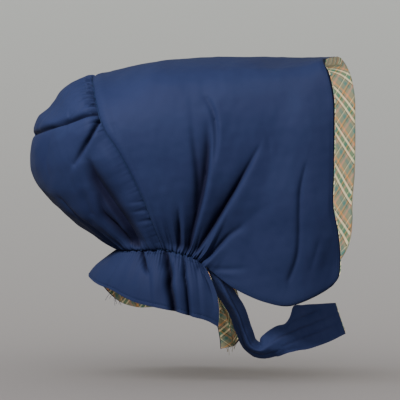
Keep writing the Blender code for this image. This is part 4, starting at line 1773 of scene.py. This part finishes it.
    def _outer(self, a: Array, w: Array, base: Array,
               ways: Array) -> tuple[Relief, Array, Array]:
        """Return the outer surface, and the heights of its folds and its neck gathers.

        Args:
            a: Places round the crown.
            w: Shares of the way up.
            base: Points of the smooth surface.
            ways: Its directions.

        Returns:
            The relief and the two heights.
        """
        distance, place, low = self._from_seam(base)
        relief = Relief(base, ways)
        relief.lay(self.FOLDS, 0.0, 0.85)
        relief.blend()
        relief.heights *= 1 - 0.7 * ease(0.07, 0.0, w)
        folds = relief.heights.copy()
        upper = ease(0.52, 0.68, low)
        turn = 2 * math.pi * place / self.gather_pitch
        gathers = np.cos(turn + 0.9 * np.sin(turn * 0.27)) + 0.5 * np.cos(turn * 1.63 + 1.0)
        shape = bell(distance, 3.0, 5.0) + 0.35 * fade(distance, 20.0)
        relief.heights += self.gather_height * gathers * upper * shape
        relief.heights += 0.12 * gathers * (1 - upper) * fade(distance, 7.0)
        relief.heights += self.puff * ease(*self.PUFF_RISE, distance) * fade(distance, self.PUFF_FALL)
        neck = sum(gather.over(a, w) for gather in self.NECK_GATHERS)
        relief.heights += neck
        calm = ease(0.0, 10.0, distance) * ease(0.0, 0.05, w)
        for wave in self.WAVES:
            relief.waves(*wave, calm)
        relief.soften(self.deepest)
        relief.heights -= groove(distance, SEAM_GROOVE) + groove(w * self.height, CROWN_NECK_GROOVE)
        return relief, folds, neck

    def build(self) -> list[bpy.types.Object]:
        """Build the padded crown with its plaid inner face, and the seam threads.

        Returns:
            The pieces.
        """
        form = self.form
        a, w, base, ways = self._base()
        relief, folds, neck = self._outer(a, w, base, ways)
        rows = every(2, self.around)
        columns = every(2, self.up)
        inner = Relief(base[rows][:, columns], -ways[rows][:, columns])
        push = push_behind(relief.heights, self.give, 4)
        inner.heights += self.wall + (push + 0.4 * neck)[rows][:, columns]
        middle = self.around // 2
        centre = self.up // 2
        even = np.stack([run_lengths(base[:, centre:centre + 1], 0) * np.ones_like(w),
                         run_lengths(base[middle:middle + 1], 1) * np.ones_like(w)], -1)
        shell = Shell()
        # The folds' heights set the painted crease shade.
        shell.wall(form.settle(relief.raised()), form.settle(inner.raised()), cloth_places(base),
                   even[rows][:, columns], 1, folds)
        crown = shell.build("gathered_crown", [self.finishes.navy, self.finishes.plaid])
        place_piece(crown, "navy", ["crown"])
        return [crown, self._build_seam_threads()]

    def _build_seam_threads(self) -> bpy.types.Object:
        """Build the threads that lie in the grooves of the crown seam and the neck seam.

        Returns:
            The threads.
        """
        form = self.form
        work = ThreadWork(radius=0.5)
        t = np.linspace(0.004, 1.996, 500)
        work.strand(form.settle(form.seam(t) - form.seam_ways(t) * self.SEAM_THREAD_IN))
        a = np.linspace(-0.995, 0.995, 500)
        line = form.neck(a) - form.neck_ways(a) * self.NECK_THREAD_IN
        work.strand(form.settle(line + self.NECK_THREAD_LIFT))
        return work.build("seam_threads", self.finishes.thread, "navy")


# The neck curtain


@dataclass
class NeckCurtain:
    """The gathered curtain below the neck seam, lined with plaid."""

    form: HoodForm
    finishes: Finishes
    around: int = 480
    down: int = 54
    length: float = 60.0
    flat: Pair = (0.40, 0.060)
    area: float = 0.021
    start: float = 0.07
    set_in: float = 0.6
    cloth: float = 1.2
    lining_gap: float = 0.8
    lining: float = 1.1
    lining_drop: float = 2.4
    stitch_in: float = 4.0
    gather_stitch_in: float = 3.0

    FOLDS: ClassVar[tuple[Fold, ...]] = (
        Fold("rear fold", ((-31, -182), (-29, -191), (-26, -199), (-22, -206)),
             4.0, 4.0, 2.2, 0.8, 3.0, 5.0, (1.3, 1.0, 0.15), 6.0, 1.1),
        Fold("soft rear fold", ((-22, -196), (-20, -214), (-17, -240)),
             1.2, 5.0, 4.0, 0.6, 5.0, 5.0, (0.4, 1.0), 0.5, 1.2),
        Fold("deep fold", ((-6, -186), (-5, -189), (-4, -195), (-1, -202), (0, -217),
                           (3, -229), (6, -246)),
             9.0, 2.6, 3.4, 1.8, 7.0, 7.0, (0.7, 1.0, 1.0, 0.9), 4.0, 1.8),
        Fold("crisp fold", ((13, -190), (15, -200), (16, -207), (18, -216), (20, -231),
                            (22, -250)), 2.4, 5.0, 1.8, 1.0, 3.0, 6.0, (0.8, 1.0, 0.9),
             5.0, 1.0),
        Fold("front fold", ((28, -200), (31, -222), (34, -256)),
             1.2, 4.0, 3.0, 0.5, 4.0, 4.5, (0.9, 0.5), 0.5, 1.0),
        Fold("curved front fold", ((30, -199), (39, -210), (44, -223), (47, -240)),
             1.0, 3.0, 2.5, 0.5, 3.0, 3.5, (1.0, 0.8, 0.2), 1.6, 1.0, False),
        Fold("back fold", ((-52, -184), (-60, -205), (-70, -225)),
             2.0, 5.0, 5.0, 0.5, 8.0, 5.0, (0.2, 1.0), 0.3, 1.2),
    )
    NECK_GATHERS: ClassVar[tuple[Gather, ...]] = (
        Gather(46, 0.80, 0.13, wobble=1.6, wobble_count=21),
        Gather(71, 0.35, 0.07, 0.7),
    )
    WAVES: ClassVar[Wave] = (0.5, 20.0, 60.0, 41)

    def _outer(self, a: Array, b: Array) -> tuple[Relief, Array]:
        """Return the outer surface with every fold on it, and the heights of the folds.

        Args:
            a: Places round the neck.
            b: Shares of the way down.

        Returns:
            The relief, and the heights of its folds alone.
        """
        form = self.form
        base = form.curtain(a, b)
        outward = form.neck_ways(a)
        ways = form.ways(form.curtain, a, b, [(-1, 1), (0, 1)], outward)
        share = ease(0.35, 0.0, b)[..., None]
        ways = unit(ways * (1 - share) + outward * share)
        base[..., 2] += self.start
        relief = Relief(base, ways)
        relief.lay(self.FOLDS, 6.0, 0.9)
        relief.blend()
        folds = relief.heights.copy()
        ripple = np.cos(2 * math.pi * (a * 9 + 0.2 * np.sin(a * 13)))
        relief.heights += ripple * 0.35 * (0.5 + 0.5 * np.sin(b * math.pi * 0.8)) - 0.8
        relief.waves(*self.WAVES, ease(0.0, 0.3, b))
        relief.heights *= 0.35 + 0.65 * ease(0.0, 0.22, b)
        gathers = sum(gather.over(a, b) for gather in self.NECK_GATHERS)
        relief.heights += gathers * ease(-0.05, 0.04, b)
        from_hem = (1 - b) * self.length
        relief.heights -= STITCH_DENT * bell(from_hem, self.stitch_in, STITCH_WIDTH)
        relief.heights -= groove(b * self.length, CURTAIN_GROOVE)
        return relief, folds

    def build(self) -> list[bpy.types.Object]:
        """Build the navy curtain, its lining, its stitches and the bare threads at its hem.

        Returns:
            The pieces.
        """
        settle = self.form.settle
        a = np.linspace(-1, 1, self.around + 1)[:, None]
        b = np.linspace(0, 1, self.down + 1)[None, :]
        a, b = np.broadcast_arrays(a, b)
        relief, folds = self._outer(a, b)
        base = relief.points
        ways = relief.normals
        outer = relief.raised() - ways * self.set_in
        inner = outer - ways * self.cloth
        cloth = np.stack([run_lengths(base[:, -1:], 0) * np.ones_like(b),
                          run_lengths(base, 1)], -1)
        # The folds' heights set the painted crease shade.
        curtain = sheet_piece("neck_curtain_cloth", ("navy", self.finishes.navy), "neck_curtain",
                              (settle(outer), settle(inner)), cloth, folds)
        depth = self.set_in + self.cloth + self.lining_gap + push_behind(relief.heights, 0.0, 3)
        face = base - ways * depth[..., None]
        face[..., 2] -= self.lining_drop * ease(0.12, 0.0, b)
        back = face - ways * self.lining
        lining = sheet_piece("neck_curtain_plaid", ("plaid", self.finishes.plaid),
                             "neck_curtain_lining",
                             (settle(back[::2, ::2]), settle(face[::2, ::2])), cloth[::2, ::2])
        outer = settle(outer)
        return [curtain, lining, self._build_stitches(outer, ways),
                self._build_frayed(outer[:, -1], a[:, -1])]

    def _build_stitches(self, outer: Array, ways: Array) -> bpy.types.Object:
        """Build the running stitches along the hem and the gathering stitches at the neck.

        Args:
            outer: Points of the outer face.
            ways: Its directions.

        Returns:
            The stitches.
        """
        work = ThreadWork(radius=0.20)
        hem = round(self.down * (1 - self.stitch_in / self.length))
        work.row(outer[3:-3, hem], ways[3:-3, hem])
        top = round(self.down * self.gather_stitch_in / self.length)
        work.row(outer[3:-3, top], ways[3:-3, top], 4.2, 2.0)
        return work.build("neck_curtain_stitches", self.finishes.thread, "navy")

    def _build_frayed(self, hem: Array, a: Array) -> bpy.types.Object:
        """Build the bare threads that hang from the far hem.

        Args:
            hem: Points along the hem.
            a: Their places round the neck.

        Returns:
            The threads.
        """
        work = ThreadWork(radius=0.18)
        work.fray(hem[(a > 0.22) & (a < 0.34)], 7, 3.0, 8.0, 19)
        return work.build("neck_curtain_frayed_threads", self.finishes.thread, "navy")


# The ties


@dataclass
class Tie:
    """One tie of doubled cloth, folded lengthwise along its path."""

    form: HoodForm
    finishes: Finishes
    name: str
    path: tuple[tuple[float, ...], ...]
    toward: Triple
    steps: int
    columns: int = 30
    cloth: float = 1.2
    lining_gap: float = 0.8
    lining: float = 1.1
    frayed: int = 0
    slant: float = 0.0

    FOLD_ROUNDING: ClassVar[float] = 0.1
    # Minus how much a crease counts as depth for the painted crease shade.
    CREASE_SHADE_SCALE: ClassVar[float] = -5.0
    # Lengthwise creases: from and to along the tie, aside there, depth.
    CREASES: ClassVar[tuple[tuple[float, ...], ...]] = (
        (0.04, 0.52, 5.0, 3.0, 1.2),
        (0.34, 0.64, -7.0, -10.0, 1.0),
        (0.58, 0.98, 1.0, 5.0, 1.1),
        (0.64, 0.99, -8.0, -5.0, 0.9),
        (0.72, 0.93, 12.0, 15.0, 1.0),
    )

    def _crease(self, s: Array, aside: Array) -> Array:
        """Return the depth of the lengthwise creases.

        Args:
            s: Shares of the way along the tie.
            aside: Distances from its middle line.

        Returns:
            Depths, none below 0.
        """
        total = np.zeros(np.broadcast(s, aside).shape)
        for start, end, first, last, depth in self.CREASES:
            way = np.clip((s - start) / (end - start), 0, 1)
            line = first + (last - first) * way
            total += depth * np.sqrt(np.sin(way * math.pi)) * bell(aside, line, 1.3)
        return total

    def _middle(self, values: Array) -> tuple[Array, Array, Array, Array]:
        """Return the tie's middle surface, its directions, and its places and sizes across.

        Args:
            values: The path table's columns at every step along the tie.

        Returns:
            Points, directions, distances from the middle line and distances from the edge.
        """
        centre = values[:, :3]
        along = unit(np.gradient(centre, axis=0))
        wide = values[:, 3:6]
        wide = unit(wide - along * np.sum(wide * along, axis=1, keepdims=True))
        front = unit(np.cross(wide, along))
        front *= np.sign(np.sum(front * np.asarray(self.toward), axis=1, keepdims=True))
        angle = np.radians(values[:, 6])[:, None]
        k = np.linspace(-1, 1, self.columns + 1)[None, :]
        half = np.where(k < 0, values[:, 7:8], values[:, 8:9])
        side = (k * np.cos(angle) * half)[..., None]
        deep = (-rounded(k, self.FOLD_ROUNDING) * np.sin(angle) * half)[..., None]
        middle = centre[:, None] + wide[:, None] * side + front[:, None] * deep
        at_end = ease(0.80, 1.0, np.linspace(0, 1, self.steps + 1))[:, None]
        middle[..., 2] += self.slant * (k + 1) / 2 * at_end
        lean = (np.sin(angle) * np.clip(k * 4, -1, 1))[..., None]
        ways = unit(front[:, None] * np.cos(angle)[..., None] + wide[:, None] * lean)
        return middle, ways, k * half, (1 - np.abs(k)) * half

    def build(self) -> list[bpy.types.Object]:
        """Build the tie, its lining and the bare threads at its end.

        Returns:
            The pieces.
        """
        rows = np.asarray(self.path, float)
        s = np.linspace(0, 1, self.steps + 1)
        values = spline(chord_knots(rows[:, :3]), rows, s)
        middle, ways, aside, from_edge = self._middle(values)
        relief = Relief(middle, ways)
        relief.waves(0.5, 14.0, 45.0, 51 + len(self.name))
        relief.waves(0.12, 5.0, 11.0, 52 + len(self.name))
        creases = self._crease(s[:, None], aside)
        relief.heights += 0.15 * bell(from_edge, 0.0, 1.2) - 0.30 * bell(from_edge, 2.6, 0.7)
        relief.heights -= creases
        rise = np.array([0.0, 0.0, self.form.SEAT_RISE])
        outer = relief.raised() + ways * self.cloth / 2 + rise
        inner = outer - ways * self.cloth
        cloth = cloth_places(middle)
        # The creases get painted shade through the relief heights.
        tie = sheet_piece(self.name + "_cloth", ("navy", self.finishes.navy), self.name,
                          (outer, inner), cloth, creases * self.CREASE_SHADE_SCALE)
        face = inner - ways * self.lining_gap
        back = face - ways * self.lining
        lining = sheet_piece(self.name + "_plaid", ("plaid", self.finishes.plaid),
                             self.name + "_lining", (back[:, ::2], face[:, ::2]), cloth[:, ::2])
        self._declare(values)
        work = ThreadWork(radius=0.18)
        work.fray(back[-1, 2:-2], self.frayed, 3.0, 9.0, 7)
        threads = work.build(self.name + "_frayed_threads", self.finishes.plaid_thread, "plaid")
        return [tie, lining, threads]

    def _declare(self, values: Array) -> None:
        """Work out the tie's length and its widths along its path; nothing uses them.

        Args:
            values: The path table's columns at every step along the tie.
        """
        length = float(run_lengths(values[:, :3], 0)[-1]) * MM
        widths = values[:, 7] + values[:, 8]


# Near tie: x, y, z, width direction x, y, z, fold angle in degrees, half widths below and above.
NEAR_TIE = (
    (42, -71.2, -198, 0.94, 0.20, 0.20, 54, 15.5, 15.5),
    (50, -70.6, -214, 0.94, 0.20, 0.25, 55, 15.5, 15.5),
    (57.5, -66, -230, 0.95, 0.16, 0.26, 59, 15.5, 15.5),
    (66.5, -58, -249, 0.95, 0.12, 0.28, 60, 15.5, 15.5),
    (72, -53, -267, 0.93, 0.08, 0.36, 60, 15.5, 15.5),
    (78, -50, -279.5, 0.72, 0.06, 0.69, 63, 15.5, 15.5),
    (87, -49, -283, 0.20, 0.05, 0.98, 61, 15.5, 15.5),
    (96, -49, -277.5, -0.16, 0.04, 0.98, 34, 15.5, 14.5),
    (108, -50, -270.5, -0.27, 0.03, 0.96, 12, 16, 13.5),
    (117, -50.6, -267, -0.27, 0.02, 0.96, 8, 17, 13),
    (121, -51, -265.5, -0.27, 0.02, 0.96, 7, 17.5, 16),
    (127, -51.5, -263.5, -0.27, 0.02, 0.96, 6, 18.5, 25),
    (138, -52.5, -259.5, -0.26, 0.02, 0.96, 5, 19, 24),
    (152, -54, -254.5, -0.24, 0.01, 0.97, 4, 18.5, 20),
    (167, -55, -249.5, -0.21, 0.00, 0.98, 4, 16, 16),
)
# Far tie, which hangs straight, with the same columns.
FAR_TIE = (
    (26, 67.8, -199, 0.90, -0.30, 0.00, 42, 15.5, 10),
    (28, 66.6, -216, 0.90, -0.34, 0.02, 46, 15.5, 10),
    (33, 58, -242, 0.92, -0.36, 0.06, 54, 15.5, 12),
    (43, 53, -262, 0.92, -0.34, 0.14, 50, 15.5, 15.5),
    (48, 48, -279, 0.90, -0.26, 0.20, 44, 15.5, 15.5),
    (48, 45, -291, 0.90, -0.24, 0.24, 42, 14, 14),
)


# The studio


@dataclass
class Studio:
    """Plain floor, soft light and the camera at the photograph's angle."""

    floor_z: float = -308.0
    reach: float = 160.0
    azimuth: float = 8.0
    elevation: float = 3.0
    distance: float = 4.0
    lens: float = 360.0
    target: Triple = (0.020, 0.0, -0.1344)
    sky: tuple[float, float, float, float] = (0.95, 0.97, 1.0, 1.0)
    sky_strength: float = 0.44
    lamp_colour: Triple = (1.0, 0.985, 0.96)

    def _floor(self) -> bpy.types.Object:
        """Lay the floor and return it.

        Returns:
            The floor.
        """
        mesh = bpy.data.meshes.new("studio_floor")
        size = self.reach
        corners = [(-size, -size, 0), (size, -size, 0), (size, size, 0), (-size, size, 0)]
        mesh.from_pydata(corners, [], [(0, 1, 2, 3)])
        mesh.materials.append(PaleBacking().material())
        floor = bpy.data.objects.new("studio_floor", mesh)
        floor.location = (0, 0, self.floor_z * MM)
        bpy.context.collection.objects.link(floor)
        return floor

    def _hang(self, lamp: bpy.types.Light, energy: float, place: Vector,
              way: Vector) -> bpy.types.Object:
        """Hang a light.

        Args:
            lamp: The light.
            energy: Its strength.
            place: Where it hangs, in metres.
            way: Direction from what it lights to the light.

        Returns:
            The light's object.
        """
        lamp.energy = energy
        thing = bpy.data.objects.new(lamp.name, lamp)
        thing.location = place
        thing.rotation_euler = way.to_track_quat("Z", "Y").to_euler()
        bpy.context.collection.objects.link(thing)
        return thing

    def _sun(self, name: str, way: Triple, energy: float,
             spread: float) -> bpy.types.Object:
        """Hang one soft distant light.

        Args:
            name: Its name.
            way: Direction from the hood to the light.
            energy: Its strength.
            spread: Its angle in degrees.

        Returns:
            The light's object.
        """
        lamp = bpy.data.lights.new(name, "SUN")
        lamp.angle = math.radians(spread)
        return self._hang(lamp, energy, Vector((0, 0, 2)), Vector(way))

    @staticmethod
    def _limit(light: bpy.types.Object, pieces: Sequence[bpy.types.Object]) -> None:
        """Let a light reach only some pieces.

        Args:
            light: The light.
            pieces: The pieces.
        """
        group = bpy.data.collections.new(light.name)
        for piece in pieces:
            group.objects.link(piece)
        light.light_linking.receiver_collection = group

    def _box(self, name: str, place: Triple,
             toward: Triple, energy: float, size: float,
             lit: Sequence[bpy.types.Object]) -> None:
        """Hang one soft box that lights the hood only, so the floor stays even.

        Args:
            name: Its name.
            place: Where it hangs, in metres.
            toward: What it points at, in metres.
            energy: Its power in watts.
            size: Its side in metres.
            lit: The pieces that it lights.
        """
        lamp = bpy.data.lights.new(name, "AREA")
        lamp.shape = "SQUARE"
        lamp.size = size
        lamp.color = self.lamp_colour
        thing = self._hang(lamp, energy, Vector(place), Vector(place) - Vector(toward))
        self._limit(thing, lit)

    def _world(self) -> None:
        """Give the surroundings an even pale light."""
        world = bpy.data.worlds.new("studio")
        bpy.context.scene.world = world
        world.use_nodes = True
        back = world.node_tree.nodes["Background"]
        back.inputs[0].default_value = self.sky
        back.inputs[1].default_value = self.sky_strength

    def _camera(self) -> None:
        """Set the camera."""
        a = math.radians(self.azimuth)
        e = math.radians(self.elevation)
        back = Vector((math.sin(a) * math.cos(e), -math.cos(a) * math.cos(e), math.sin(e)))
        data = bpy.data.cameras.new("camera")
        data.lens = self.lens
        data.sensor_width = 36.0
        data.clip_end = 400.0
        camera = bpy.data.objects.new("camera", data)
        camera.location = Vector(self.target) + back * self.distance
        camera.rotation_euler = back.to_track_quat("Z", "Y").to_euler()
        bpy.context.collection.objects.link(camera)
        bpy.context.scene.camera = camera

    def build(self, lit: Sequence[bpy.types.Object]) -> None:
        """Build the whole studio.

        Args:
            lit: The pieces of the hood.
        """
        floor = self._floor()
        linings = [piece for piece in lit if "plaid" in piece.name]
        ties = [piece for piece in lit if "tie" in piece.name and piece not in linings]
        self._sun("broad", (-0.30, -0.50, 0.85), 0.4, 120.0)
        self._limit(self._sun("backdrop", (0.0, -0.5, 0.85), 0.82, 170.0), [floor])
        self._box("key", (-0.30, -0.60, 0.37), (0.0, -0.05, -0.10), 14.5, 0.16, lit)
        for name, watts, pieces in (("linings", 23.0, linings), ("ties", 13.0, ties)):
            self._box(name, (0.50, -1.30, -0.10), (0.10, 0.05, -0.15), watts, 0.30, pieces)
        self._world()
        self._camera()


def main() -> None:
    """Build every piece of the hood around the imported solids."""
    logging.basicConfig(level=logging.INFO, format="%(name)s: %(message)s")
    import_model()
    form = HoodForm()
    finishes = Finishes.make()
    pieces = Brim(form, finishes).build()
    pieces += Crown(form, finishes).build()
    pieces += NeckCurtain(form, finishes).build()
    pieces += Tie(form, finishes, "tie_right", NEAR_TIE, (0.0, -1.0, 0.0), 150, frayed=5).build()
    pieces += Tie(form, finishes, "tie_left", FAR_TIE, (0.0, 1.0, 0.0), 76, frayed=12,
                  slant=8.0).build()
    Studio().build(pieces)


if __name__ == "__main__":
    main()
